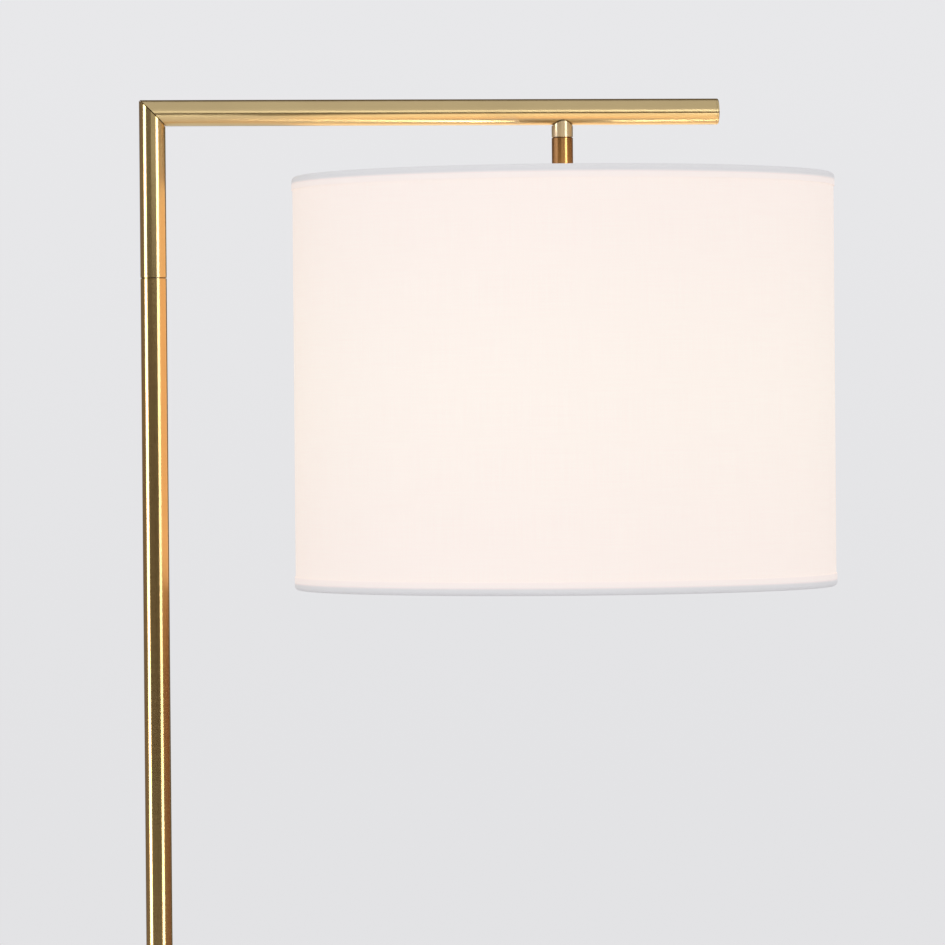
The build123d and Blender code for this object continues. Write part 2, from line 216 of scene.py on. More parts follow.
def turned_mesh(outline: Sequence[Point], segments: int, shaper: Optional[Shaper] = None) -> bpy.types.Mesh:
    """Turn an outline about the local Z axis.

    Args:
        outline: Points (radius, level). It closes on itself unless both ends lie on the axis.
        segments: Number of steps round the axis.
        shaper: Optional move of each point, such as a mitre or a cope.

    Returns:
        A closed mesh with a surface map in metres.
    """
    shape = bmesh.new()
    surface = shape.loops.layers.uv.new(SURFACE_MAP)
    girth = FULL_TURN * max(radius for radius, _ in outline)
    rings = []
    for radius, level in outline:
        count = segments if radius > AXIS_TOUCH else 1
        turns = [FULL_TURN * step / segments for step in range(count)]
        rings.append([shape.verts.new((radius * math.cos(t), radius * math.sin(t), level)) for t in turns])
    moved = {vert: shaper(vert.co) if shaper else vert.co.copy() for vert in shape.verts}
    pairs = list(zip(range(len(rings)), range(1, len(rings))))
    if len(rings[0]) > 1 or len(rings[-1]) > 1:
        pairs.append((len(rings) - 1, 0))
    run = 0.0
    for lower, upper in pairs:
        after = run + math.dist(outline[lower], outline[upper])
        upwards = (outline[upper][1] - outline[lower][1]) / (after - run)
        for step in range(segments):
            corners = {}
            for ring, turn, along in ((lower, step, run), (lower, step + 1, run),
                                      (upper, step + 1, after), (upper, step, after)):
                corner = rings[ring][turn % len(rings[ring])]
                shift = upwards * (moved[corner].z - corner.co.z)
                corners.setdefault(corner, (girth * turn / segments, along + shift))
            if len(corners) > 2:
                for loop in shape.faces.new(list(corners)).loops:
                    loop[surface].uv = corners[loop.vert]
        run = after
    for vert in shape.verts:
        vert.co = moved[vert]
    bmesh.ops.recalc_face_normals(shape, faces=shape.faces)
    mesh = bpy.data.meshes.new("turned")
    shape.to_mesh(mesh)
    shape.free()
    return mesh


def turned(name: str, outline: Sequence[Point], place: Matrix = Matrix.Identity(4), segments: int = 128,
           shaper: Optional[Shaper] = None, cutter: Optional[bpy.types.Object] = None) -> bpy.types.Object:
    """Make a turned piece.

    Args:
        name: Name of the piece.
        outline: Points (radius, level) in its own frame.
        place: Where that frame stands in the lamp's frame.
        segments: Number of steps round the axis.
        shaper: Optional move of each point in its own frame.
        cutter: Optional shape that is drilled out of it.

    Returns:
        The piece, with its place in its mesh.
    """
    mesh = turned_mesh(outline, segments, shaper)
    mesh.transform(place)
    return settled(name, mesh, cutter)


def rod_cutter(radius: float, start: float, end: float, place: Matrix) -> bpy.types.Object:
    """Return a plain round bar to drill with.

    Args:
        radius: Its radius.
        start: Where it starts along its axis.
        end: Where it ends.
        place: Where its frame stands in the lamp's frame.

    Returns:
        The bar, hidden from renders.
    """
    mesh = turned_mesh([(0.0, start), (radius, start), (radius, end), (0.0, end)], DRILL_STEPS)
    mesh.transform(place)
    cutter = placed("cutter", mesh)
    cutter.hide_render = True
    return cutter


def ribbon(name: str, outer: Point, inner: Point, start: float, end: float, steps: int) -> bpy.types.Mesh:
    """Return a one-sided ribbon round the post's axis.

    Args:
        name: Name of the mesh.
        outer: Radius and level of its first edge.
        inner: Radius and level of its second edge.
        start: Angle from +X where it starts, in degrees.
        end: Angle where it ends.
        steps: Number of faces.

    Returns:
        The mesh, which faces up where the first edge is the wider one.
    """
    points = []
    for step in range(steps + 1):
        turn = math.radians(start + (end - start) * step / steps)
        for radius, level in (outer, inner):
            points.append((radius * math.cos(turn), radius * math.sin(turn), level))
    mesh = bpy.data.meshes.new(name)
    mesh.from_pydata(points, [], [(2 * s, 2 * s + 2, 2 * s + 3, 2 * s + 1) for s in range(steps)])
    return mesh


# Node trees


class NodeSheet:
    """Places and links the nodes of one tree."""

    def __init__(self, tree: bpy.types.NodeTree) -> None:
        """Keep the tree that nodes are placed in."""
        self.tree = tree

    def put(self, kind: str, inputs: Optional[dict] = None, **settings: object) -> bpy.types.Node:
        """Place a node.

        Args:
            kind: Blender's name of the node type.
            inputs: Values or sockets by input name or number.
            settings: Properties of the node itself.

        Returns:
            The new node.
        """
        node = self.tree.nodes.new(kind)
        for key, value in settings.items():
            setattr(node, key, value)
        for key, value in (inputs or {}).items():
            self.feed(node.inputs[key], value)
        return node

    def feed(self, socket: bpy.types.NodeSocket, value: Value) -> None:
        """Link a socket to another, or set its plain value.

        Args:
            socket: Input that is fed.
            value: Output to link, or a number, a vector or a colour.
        """
        if isinstance(value, bpy.types.NodeSocket):
            self.tree.links.new(value, socket)
        elif socket.type == "RGBA":
            socket.default_value = (*value, 1.0)
        else:
            socket.default_value = value

    def math(self, operation: str, *values: Value) -> bpy.types.NodeSocket:
        """Return the result of a math node."""
        return self.put("ShaderNodeMath", dict(enumerate(values)), operation=operation).outputs[0]

    def vector(self, operation: str, *values: Value) -> bpy.types.NodeSocket:
        """Return the result of a vector math node."""
        return self.put("ShaderNodeVectorMath", dict(enumerate(values)), operation=operation).outputs[0]

    def split(self, vector: bpy.types.NodeSocket) -> bpy.types.NodeOutputs:
        """Return the X, Y and Z of a vector."""
        return self.put("ShaderNodeSeparateXYZ", {0: vector}).outputs

    def join(self, *values: Value) -> bpy.types.NodeSocket:
        """Return a vector of X, Y and Z values."""
        return self.put("ShaderNodeCombineXYZ", dict(enumerate(values))).outputs[0]

    def length(self, vector: bpy.types.NodeSocket) -> bpy.types.NodeSocket:
        """Return the length of a vector."""
        return self.put("ShaderNodeVectorMath", {0: vector}, operation="LENGTH").outputs["Value"]

    def scaled(self, value: Value, start: Value, end: Value, low: Value = 0.0, high: Value = 1.0,
               interpolation_type: str = "SMOOTHSTEP") -> bpy.types.NodeSocket:
        """Return a value carried from one range to another."""
        inputs = {"Value": value, "From Min": start, "From Max": end, "To Min": low, "To Max": high}
        return self.put("ShaderNodeMapRange", inputs, interpolation_type=interpolation_type).outputs[0]

    def blend(self, factor: Value, first: Value, second: Value,
              blend_type: str = "MIX") -> bpy.types.NodeSocket:
        """Return a mix of two colours, which are the Mix node's inputs 6 and 7."""
        inputs = {0: factor, 6: first, 7: second}
        return self.put("ShaderNodeMix", inputs, data_type="RGBA", blend_type=blend_type).outputs[2]

    def noise(self, vector: bpy.types.NodeSocket, scale: Value, detail: float = 2.0) -> bpy.types.NodeSocket:
        """Return smooth noise from 0 to 1."""
        return self.put("ShaderNodeTexNoise", {"Vector": vector, "Scale": scale, "Detail": detail}).outputs[0]


class GeometryTree(NodeSheet):
    """Geometry node tree with named sizes, whose result is kept as a plain mesh."""

    def __init__(self, name: str, takes_mesh: bool = False) -> None:
        """Start a tree that takes a finish.

        Args:
            name: Name of the tree.
            takes_mesh: Whether it works on a mesh that is handed to it.
        """
        super().__init__(bpy.data.node_groups.new(name, "GeometryNodeTree"))
        self.keys: dict[str, str] = {}
        self.source = self.tree.nodes.new("NodeGroupInput")
        self.mesh_in = self.take("Mesh", "NodeSocketGeometry") if takes_mesh else None
        self.finish_in = self.take("Finish", "NodeSocketMaterial")

    def take(self, name: str, kind: str = "NodeSocketFloat") -> bpy.types.NodeSocket:
        """Add a named input and return its socket."""
        self.keys[name] = self.tree.interface.new_socket(name, in_out="INPUT", socket_type=kind).identifier
        return self.source.outputs[name]

    def close(self, geometry: bpy.types.NodeSocket) -> "GeometryTree":
        """End the tree in realized geometry with its finish set.

        Args:
            geometry: What the tree has made.

        Returns:
            The tree itself, ready to run.
        """
        plain = self.put("GeometryNodeRealizeInstances", {"Geometry": geometry}).outputs[0]
        coated = self.put("GeometryNodeSetMaterial", {"Geometry": plain, "Material": self.finish_in})
        self.tree.interface.new_socket("Geometry", in_out="OUTPUT", socket_type="NodeSocketGeometry")
        self.feed(self.tree.nodes.new("NodeGroupOutput").inputs[0], coated.outputs[0])
        return self

    def piece(self, name: str, finish: "Finish", sizes: dict[str, float], place: Matrix = Matrix.Identity(4),
              base: Optional[bpy.types.Mesh] = None, thickness: float = 0.0) -> bpy.types.Object:
        """Run the tree and keep its result.

        Args:
            name: Name of the piece.
            finish: Finish that the tree sets.
            sizes: Values of the named inputs.
            place: Where the tree's frame stands in the lamp's frame.
            base: Mesh that the tree works on, where it takes one.
            thickness: Wall that is added inwards to an open sheet.

        Returns:
            The piece, with its place in its mesh and no modifier left.
        """
        holder = placed(name, base or bpy.data.meshes.new(name))
        maker = holder.modifiers.new(self.tree.name, "NODES")
        maker.node_group = self.tree
        maker[self.keys["Finish"]] = finish.material()
        for size, value in sizes.items():
            maker[self.keys[size]] = value
        if thickness:
            wall = holder.modifiers.new("wall", "SOLIDIFY")
            wall.thickness = thickness
            wall.offset = -1.0
        mesh = evaluated(holder)
        bpy.data.objects.remove(holder)
        mesh.transform(place)
        return settled(name, mesh)


def thread_tree() -> GeometryTree:
    """Draw a tree that winds a screw thread's ridge on a cylinder.

    Returns:
        The tree, with inputs Radius, Turns, Height and Ridge.
    """
    tree = GeometryTree("screw_thread")
    radius = tree.take("Radius")
    spiral = tree.put("GeometryNodeCurveSpiral", {
        "Resolution": THREAD_STEPS, "Rotations": tree.take("Turns"), "Start Radius": radius,
        "End Radius": radius, "Height": tree.take("Height")})
    ridge = tree.put("GeometryNodeCurvePrimitiveCircle", {
        "Resolution": RIDGE_STEPS, "Radius": tree.take("Ridge")})
    swept = tree.put("GeometryNodeCurveToMesh", {
        "Curve": spiral.outputs[0], "Profile Curve": ridge.outputs[0], "Fill Caps": True})
    return tree.close(swept.outputs[0])


def flute_tree() -> GeometryTree:
    """Draw a tree that presses evenly spaced finger flutes into the outside of a turned piece.

    Returns:
        The tree, with inputs Count, Sharpness, Core radius, Upper level and Depth.
    """
    tree = GeometryTree("finger_flutes", takes_mesh=True)
    x, y, z = tree.split(tree.put("GeometryNodeInputPosition").outputs[0])
    outwards = tree.join(x, y, 0.0)
    wave = tree.math("COSINE", tree.math("MULTIPLY", tree.math("ARCTAN2", y, x), tree.take("Count")))
    press = tree.math("POWER", tree.math("MAXIMUM", wave, 0.0), tree.take("Sharpness"))
    outside = tree.math("GREATER_THAN", tree.length(outwards), tree.take("Core radius"))
    below = tree.math("LESS_THAN", z, tree.take("Upper level"))
    pressed = tree.math("MULTIPLY", tree.math("MULTIPLY", press, outside), below)
    inward = tree.math("MULTIPLY", tree.math("MULTIPLY", pressed, tree.take("Depth")), -1.0)
    offset = tree.vector("MULTIPLY", tree.vector("NORMALIZE", outwards), tree.join(inward, inward, 0.0))
    moved = tree.put("GeometryNodeSetPosition", {"Geometry": tree.mesh_in, "Offset": offset})
    return tree.close(moved.outputs[0])


def spider_tree() -> GeometryTree:
    """Draw a tree that bends a wire along a run of points and repeats it round the axis.

    Returns:
        The tree, with inputs Bend, Wire radius, Count and First angle.
    """
    tree = GeometryTree("wire_spider", takes_mesh=True)
    run = tree.put("GeometryNodeMeshToCurve", {"Mesh": tree.mesh_in}).outputs[0]
    bent = tree.put("GeometryNodeFilletCurve", {
        "Curve": run, "Count": BEND_STEPS, "Radius": tree.take("Bend")}, mode="POLY")
    wire = tree.put("GeometryNodeCurvePrimitiveCircle", {
        "Resolution": WIRE_STEPS, "Radius": tree.take("Wire radius")})
    swept = tree.put("GeometryNodeCurveToMesh", {
        "Curve": bent.outputs[0], "Profile Curve": wire.outputs[0], "Fill Caps": True})
    count = tree.take("Count", "NodeSocketInt")
    points = tree.put("GeometryNodeMeshLine", {"Count": count, "Offset": (0.0, 0.0, 0.0)})
    index = tree.put("GeometryNodeInputIndex").outputs[0]
    step = tree.math("DIVIDE", FULL_TURN, count)
    angle = tree.math("MULTIPLY_ADD", index, step, tree.take("First angle"))
    spin = tree.put("FunctionNodeEulerToRotation", {0: tree.join(0.0, 0.0, angle)}).outputs[0]
    spokes = tree.put("GeometryNodeInstanceOnPoints", {
        "Points": points.outputs[0], "Instance": swept.outputs[0], "Rotation": spin})
    return tree.close(spokes.outputs[0])


def wrap_tree() -> GeometryTree:
    """Draw a tree that wraps a flat sheet into a drum, its ends lapped over one another.

    Returns:
        The tree, with inputs Length, Height, Radius, Seam angle and Lap step.
    """
    tree = GeometryTree("wrapped_sheet")
    length, height, radius = tree.take("Length"), tree.take("Height"), tree.take("Radius")
    girth = tree.math("MULTIPLY", radius, FULL_TURN)
    sheet = tree.put("GeometryNodeMeshGrid", {
        "Size X": length, "Size Y": height, "Vertices X": SHEET_COLUMNS, "Vertices Y": SHEET_ROWS})
    across, up, _ = tree.split(tree.put("GeometryNodeInputPosition").outputs[0])
    along = tree.math("ADD", across, tree.math("DIVIDE", length, 2.0))
    angle = tree.math("ADD", tree.math("DIVIDE", along, radius), tree.take("Seam angle"))
    lap = tree.math("SUBTRACT", length, girth)
    rise = tree.scaled(along, tree.math("SUBTRACT", girth, lap), girth, 0.0, tree.take("Lap step"))
    out = tree.math("ADD", radius, rise)
    wrapped = tree.join(tree.math("MULTIPLY", out, tree.math("COSINE", angle)),
                        tree.math("MULTIPLY", out, tree.math("SINE", angle)), up)
    mapped = tree.put("GeometryNodeStoreNamedAttribute", {
        "Geometry": sheet.outputs[0], "Name": SURFACE_MAP, "Value": tree.join(along, up, 0.0)},
        data_type="FLOAT2", domain="CORNER")
    moved = tree.put("GeometryNodeSetPosition", {"Geometry": mapped.outputs[0], "Position": wrapped})
    return tree.close(moved.outputs[0])


# Shared surface effects


class Effect(Enum):
    """Surface effects that several finishes share."""

    BRUSHED = "brushed_grain"
    PATINA = "handled_patina"
    WEAVE = "linen_weave"
    MOULDED = "moulded_grain"


class EffectGroup(NodeSheet):
    """Shader node group of one effect, with named inputs and outputs."""

    fine_share: float = 0.6
    fine_detail: float = 3.0
    band_scale: float = 0.16
    band_detail: float = 1.0
    cloud_detail: float = 5.0
    cloud_middle: float = 0.75
    cloud_shift: float = 0.5
    cloud_blur: float = 0.2
    thread_drift: Triple = (0.05, 0.05, 1.0)
    crossing_blur: float = 0.35
    slub_width: float = 0.55
    slub_run: float = 0.012
    mottle_scale: float = 0.06

    def __init__(self, effect: Effect) -> None:
        """Draw the group of an effect.

        Args:
            effect: Which effect it is.
        """
        super().__init__(bpy.data.node_groups.new(effect.value, "ShaderNodeTree"))
        self.source = self.tree.nodes.new("NodeGroupInput")
        self.sink = self.tree.nodes.new("NodeGroupOutput")
        draw = {Effect.BRUSHED: self.brushed, Effect.PATINA: self.patina,
                Effect.WEAVE: self.weave, Effect.MOULDED: self.moulded}
        draw[effect]()

    @classmethod
    def of(cls, effect: Effect) -> bpy.types.NodeTree:
        """Return the group of an effect, drawn on first use."""
        return bpy.data.node_groups.get(effect.value) or cls(effect).tree

    def take(self, name: str, kind: str = "NodeSocketFloat") -> bpy.types.NodeSocket:
        """Add a named input and return its socket."""
        self.tree.interface.new_socket(name, in_out="INPUT", socket_type=kind)
        return self.source.outputs[name]

    def give(self, name: str, value: bpy.types.NodeSocket) -> None:
        """Add a named output."""
        self.tree.interface.new_socket(name, in_out="OUTPUT", socket_type="NodeSocketFloat")
        self.feed(self.sink.inputs[name], value)

    def brushed(self) -> None:
        """Draw fine scratches that run one way, over broader bands."""
        vector, rates = self.take("Vector", "NodeSocketVector"), self.take("Rates", "NodeSocketVector")
        scratches = self.vector("MULTIPLY", vector, rates)
        fine = self.noise(scratches, 1.0, self.fine_detail)
        broad = self.noise(scratches, self.band_scale, self.band_detail)
        bands = self.math("MULTIPLY", broad, 1.0 - self.fine_share)
        self.give("Tone", self.math("MULTIPLY_ADD", fine, self.fine_share, bands))
        self.give("Height", fine)

    def patina(self) -> None:
        """Draw soft clouds where a surface has been handled or has dulled."""
        vector, scale, cover = self.take("Vector", "NodeSocketVector"), self.take("Scale"), self.take("Cover")
        clouds = self.noise(vector, scale, self.cloud_detail)
        edge = self.math("SUBTRACT", self.cloud_middle, self.math("MULTIPLY", cover, self.cloud_shift))
        start, end = self.math("SUBTRACT", edge, self.cloud_blur), self.math("ADD", edge, self.cloud_blur)
        self.give("Mask", self.scaled(clouds, start, end))

    def weave(self) -> None:
        """Draw a plain weave whose threads swell and thin along their length."""
        vector, pitch, slub = self.take("Vector", "NodeSocketVector"), self.take("Pitch"), self.take("Slub")
        threads = self.vector("DIVIDE", vector, self.join(pitch, pitch, pitch))
        drift = self.noise(self.vector("MULTIPLY", threads, self.thread_drift), 1.0)
        u, v, _ = self.split(self.vector("ADD", threads, self.join(drift, drift, 0.0)))
        warp, weft = [self.math("SINE", self.math("MULTIPLY", way, math.pi)) for way in (u, v)]
        over = self.scaled(self.math("MULTIPLY", warp, weft), -self.crossing_blur, self.crossing_blur)
        warp_rise, weft_rise = self.math("ABSOLUTE", warp), self.math("ABSOLUTE", weft)
        rise = self.math("MULTIPLY_ADD", over, self.math("SUBTRACT", warp_rise, weft_rise), weft_rise)
        along_warp, along_weft = [
            self.noise(self.vector("MULTIPLY", threads, rates), 1.0, self.fine_detail)
            for rates in ((self.slub_width, self.slub_run, 1.0), (self.slub_run, self.slub_width, 1.0))]
        slubs = self.math("SUBTRACT", self.math("ADD", along_warp, along_weft), 1.0)
        self.give("Tone", self.math("MULTIPLY_ADD", slubs, slub, 0.5))
        self.give("Height", self.math("MULTIPLY_ADD", slubs, slub, rise))

    def moulded(self) -> None:
        """Draw the fine pebbled skin of a moulding, with a broad mottle in its shine."""
        vector, scale = self.take("Vector", "NodeSocketVector"), self.take("Scale")
        self.give("Height", self.noise(vector, scale))
        mottle = self.math("MULTIPLY", scale, self.mottle_scale)
        self.give("Tone", self.noise(vector, mottle, self.fine_detail))


# Finishes


DRAWN: dict[str, bpy.types.Material] = {}


class MaterialSheet(NodeSheet):
    """Node tree of one new material, around its Principled shader."""

    def __init__(self, name: str) -> None:
        """Start a material.

        Args:
            name: Name of the material.
        """
        self.material = bpy.data.materials.new(name)
        self.material.use_nodes = True
        super().__init__(self.material.node_tree)
        self.shader = self.tree.nodes["Principled BSDF"]

    @cached_property
    def object_coords(self) -> bpy.types.NodeSocket:
        """Coordinates in the lamp's frame."""
        return self.put("ShaderNodeTexCoord").outputs["Object"]

    @cached_property
    def surface_coords(self) -> bpy.types.NodeSocket:
        """Coordinates on the piece's own surface map, in metres."""
        return self.put("ShaderNodeUVMap", uv_map=SURFACE_MAP).outputs["UV"]

    @cached_property
    def path(self) -> bpy.types.NodeOutputs:
        """What kind of ray looks at the surface."""
        return self.put("ShaderNodeLightPath").outputs

    def effect(self, effect: Effect, **inputs: Value) -> bpy.types.NodeOutputs:
        """Place a shared effect and return its outputs."""
        return self.put("ShaderNodeGroup", inputs, node_tree=EffectGroup.of(effect)).outputs

    def shade(self, inputs: dict[str, Value]) -> None:
        """Feed inputs of the shader."""
        for name, value in inputs.items():
            self.feed(self.shader.inputs[name], value)

    def shine(self, colour: Value) -> None:
        """Let the surface give off light of a colour."""
        self.shade({"Emission Color": colour, "Emission Strength": 1.0})

    def emboss(self, height: bpy.types.NodeSocket, strength: float, distance: float) -> None:
        """Feed a height to the shader's normal."""
        bump = self.put("ShaderNodeBump", {"Strength": strength, "Distance": distance, "Height": height})
        self.shade({"Normal": bump.outputs[0]})


@dataclass(frozen=True)
class Finish:
    """A surface finish, whose material is made once and kept under its name."""

    name: str
    colour: Colour
    roughness: float

    def material(self) -> bpy.types.Material:
        """Draw the material on first use.

        Returns:
            The material, which is the same one each time.
        """
        if self.name not in DRAWN:
            sheet = MaterialSheet(self.name)
            self.draw(sheet)
            DRAWN[self.name] = sheet.material
        return DRAWN[self.name]

    def draw(self, sheet: MaterialSheet) -> None:
        """Draw the nodes of the finish on a material's sheet."""
        raise NotImplementedError

    def uneven(self, sheet: MaterialSheet, tone: bpy.types.NodeSocket, tones: Pair,
               spread: float) -> bpy.types.NodeSocket:
        """Return the roughness, varied to either side between two tones."""
        return sheet.scaled(tone, *tones, self.roughness - spread, self.roughness + spread)


class Grain(Enum):
    """Scratches per metre across and along a surface map, or in space."""

    ROUND = (40.0, 5200.0, 0.0)
    CAST = (900.0, 900.0, 900.0)


class Polish(Enum):
    """Roughness of a tube's brass, and how far its shine is drawn out."""

    BRIGHT = (0.22, 0.8)
    SATIN = (0.29, 0.975)


@dataclass(frozen=True)
class BrushedMetal(Finish):
    """Bare or plated metal with a brushed or cast grain."""

    dull: Colour
    grain: Grain
    spread: float = 0.03
    cover: float = 0.3
    scratch: float = 0.05
    anisotropy: float = 0.0
    shine_turn: float = 0.25
    cloud_scale: float = 16.0
    tones: Pair = (0.3, 0.7)
    grain_depth: float = 0.0001

    def draw(self, sheet: MaterialSheet) -> None:
        """Draw metal that dulls in clouds, with a grain that spreads its shine.

        Args:
            sheet: Sheet of the material.
        """
        vector = sheet.object_coords if self.grain is Grain.CAST else sheet.surface_coords
        grain = sheet.effect(Effect.BRUSHED, Vector=vector, Rates=self.grain.value)
        clouds = sheet.effect(
            Effect.PATINA, Vector=sheet.object_coords, Scale=self.cloud_scale, Cover=self.cover)["Mask"]
        grainy = self.uneven(sheet, grain["Tone"], self.tones, self.spread)
        sheet.shade({
            "Metallic": 1.0,
            "Base Color": sheet.blend(clouds, self.colour, self.dull),
            "Roughness": sheet.math("MULTIPLY_ADD", clouds, self.spread, grainy)})
        if self.anisotropy:
            tangent = sheet.put("ShaderNodeTangent", direction_type="UV_MAP", uv_map=SURFACE_MAP)
            sheet.shade({
                "Tangent": tangent.outputs[0],
                "Anisotropic": self.anisotropy,
                "Anisotropic Rotation": self.shine_turn})
        sheet.emboss(grain["Height"], self.scratch, self.grain_depth)


@dataclass(frozen=True)
class Moulding(Finish):
    """Moulded plastic, paint, rubber or foam with a pebbled skin and a little dust."""

    dust: Colour
    pebble: float = 2200.0
    relief: float = 0.12
    cover: float = 0.1
    dust_share: float = 0.35
    cloud_scale: float = 30.0
    tones: Pair = (0.25, 0.75)
    spread: float = 0.06
    pebble_depth: float = 0.0002

    def draw(self, sheet: MaterialSheet) -> None:
        """Draw a pebbled skin with dust in clouds.

        Args:
            sheet: Sheet of the material.
        """
        skin = sheet.effect(Effect.MOULDED, Vector=sheet.object_coords, Scale=self.pebble)
        clouds = sheet.effect(
            Effect.PATINA, Vector=sheet.object_coords, Scale=self.cloud_scale, Cover=self.cover)["Mask"]
        dusty = sheet.math("MULTIPLY", clouds, self.dust_share)
        sheet.shade({
            "Base Color": sheet.blend(dusty, self.colour, self.dust),
            "Roughness": self.uneven(sheet, skin["Tone"], self.tones, self.spread)})
        sheet.emboss(skin["Height"], self.relief, self.pebble_depth)


@dataclass(frozen=True)
class LitCloth(Finish):
    """Linen or liner with the bulb's light through it painted on as a glow."""

    middle: float
    half_height: float
    glow: Colour = (0.36, 0.27, 0.175)
    glow_ends: Colour = (0.345, 0.243, 0.163)
    reflected_glow: Colour = (0.8, 0.33, 0.03)
    reflected_glow_low: Colour = (0.8, 0.33, 0.03)
    pitch: float = 0.00042
    slub: float = 0.25
    wire_shadow_band: float = 0.0
    wire_shadow_fade: float = 0.0012
    relief: float = 0.25
    thread_depth: float = 0.0001
    thread_light: Pair = (0.8, 1.2)
    thread_tint: Pair = (0.94, 1.06)
    gloss: float = 0.1

    def draw(self, sheet: MaterialSheet) -> None:
        """Draw a weave with a painted glow of the bulb's light, brightest halfway up, and a painted shadow
        where a wire stands behind it.

        The glow is stronger in reflections than it is straight on, because the picture holds the cloth just
        below white and the brass shows its real warmth.

        Args:
            sheet: Sheet of the material.
        """
        weave = sheet.effect(Effect.WEAVE, Vector=sheet.surface_coords, Pitch=self.pitch, Slub=self.slub)
        level = sheet.split(sheet.object_coords)["Z"]
        away = sheet.math("ABSOLUTE", sheet.math("SUBTRACT", level, self.middle))
        light = sheet.scaled(weave["Tone"], 0.0, 1.0, *self.thread_light, "LINEAR")
        # Painted shadow of the wire hoop: no glow in a band near each edge of the trim.
        if self.wire_shadow_band:
            edge = self.half_height - self.wire_shadow_band
            clear = sheet.scaled(away, edge - self.wire_shadow_fade, edge + self.wire_shadow_fade, 1.0, 0.0)
            light = sheet.math("MULTIPLY", light, clear)
        even_glow = sheet.blend(sheet.scaled(away, 0.0, self.half_height), self.glow, self.glow_ends)
        glow = sheet.put("ShaderNodeVectorMath", {0: even_glow, "Scale": light}, operation="SCALE").outputs[0]
        height = sheet.scaled(level, self.middle - self.half_height, self.middle + self.half_height)
        # Painted reflection: a stronger glow that only reflections see, going from reflected_glow_low at the
        # bottom to reflected_glow at the top.
        reflected_glow = sheet.blend(height, self.reflected_glow_low, self.reflected_glow)
        sheet.shine(sheet.blend(sheet.path["Is Glossy Ray"], glow, reflected_glow))
        tint = sheet.scaled(weave["Tone"], 0.0, 1.0, *self.thread_tint, "LINEAR")
        sheet.shade({
            "Base Color": sheet.blend(1.0, self.colour, tint, "MULTIPLY"),
            "Roughness": self.roughness,
            "Specular IOR Level": self.gloss})
        sheet.emboss(weave["Height"], self.relief, self.thread_depth)


@dataclass(frozen=True)
class LitGlobe(Finish):
    """Frosted glass lit from inside."""

    seen: Colour = (0.56, 0.49, 0.39)
    seen_dimmer: float = 0.93
    glow: Colour = (4.0, 3.0, 1.8)
    reflected_glow: Colour = (28.0, 25.0, 20.0)
    frost: float = 1400.0
    tones: Pair = (0.2, 0.8)
    spread: float = 0.05
    relief: float = 0.05
    frost_depth: float = 0.0001

    def draw(self, sheet: MaterialSheet) -> None:
        """Draw frosting that shows just below white, and lights the lamp with its real strength.

        Args:
            sheet: Sheet of the material.
        """
        skin = sheet.effect(Effect.MOULDED, Vector=sheet.object_coords, Scale=self.frost)
        sheet.shade({
            "Base Color": self.colour,
            "Roughness": self.uneven(sheet, skin["Tone"], self.tones, self.spread)})
        dimmer = tuple(part * self.seen_dimmer for part in self.seen)
        # Painted highlight: reflections see the bulb much brighter than the light it gives.
        cast = sheet.blend(sheet.path["Is Glossy Ray"], self.glow, self.reflected_glow)
        shown = sheet.blend(skin["Tone"], dimmer, self.seen)
        sheet.shine(sheet.blend(sheet.path["Is Camera Ray"], cast, shown))
        sheet.emboss(skin["Height"], self.relief, self.frost_depth)


def tube_brass(name: str, colour: Colour, dull: Colour, polish: Polish) -> BrushedMetal:
    """Return the brass of a drawn tube, with fine scratches round it."""
    roughness, anisotropy = polish.value
    return BrushedMetal(name, colour, roughness, dull, Grain.ROUND, spread=0.012, scratch=0.006,
                        anisotropy=anisotropy)


# One brass on every tube, with its colour set apart for each: the stem's is a darker copy, painted shade, and
# the stub's a paler copy, painted light.
POST_BRASS = tube_brass("polished_brass_post", (0.60, 0.425, 0.185), (0.53, 0.375, 0.165), Polish.BRIGHT)
LEG_BRASS = tube_brass("polished_brass_leg", (0.61, 0.46, 0.21), (0.55, 0.41, 0.19), Polish.BRIGHT)
HEAD_BRASS = tube_brass("satin_brass_head", (0.61, 0.47, 0.24), (0.55, 0.42, 0.215), Polish.SATIN)
STEM_BRASS_PAINTED_SHADE = tube_brass("stem_brass_painted_shade", (0.42, 0.225, 0.08), (0.36, 0.19, 0.065), Polish.BRIGHT)
STUB_BRASS_PAINTED_LIGHT = tube_brass("stub_brass_painted_light", (0.60, 0.50, 0.32), (0.53, 0.44, 0.28), Polish.SATIN)
TURNED_BRASS = BrushedMetal("satin_brass_turned", (0.60, 0.475, 0.255), 0.32, (0.52, 0.41, 0.22), Grain.ROUND,
                            anisotropy=0.7)
PLAIN_BRASS = BrushedMetal("rolled_brass", (0.70, 0.56, 0.30), 0.25, (0.55, 0.42, 0.22), Grain.CAST)
ZINC_STEEL = BrushedMetal("zinc_plate", (0.60, 0.60, 0.61), 0.32, (0.45, 0.45, 0.46), Grain.CAST)
CAP_METAL = BrushedMetal("bulb_cap_metal", (0.75, 0.75, 0.76), 0.28, (0.6, 0.6, 0.6), Grain.ROUND)
SOLDER = BrushedMetal("solder_drop", (0.62, 0.62, 0.62), 0.35, (0.5, 0.5, 0.5), Grain.CAST, spread=0.1)
CAST_IRON = Moulding("black_dipped_iron", (0.07, 0.07, 0.07), 0.62, (0.16, 0.13, 0.11),
                     pebble=700.0, relief=0.5, cover=0.4)
FOOT_FOAM = Moulding("foot_foam", (0.06, 0.06, 0.06), 0.85, (0.2, 0.19, 0.18),
                     pebble=900.0, relief=0.4, cover=0.3)
BLACK_MOULDING = Moulding("satin_black_moulding", (0.03, 0.03, 0.03), 0.38, (0.12, 0.11, 0.10))
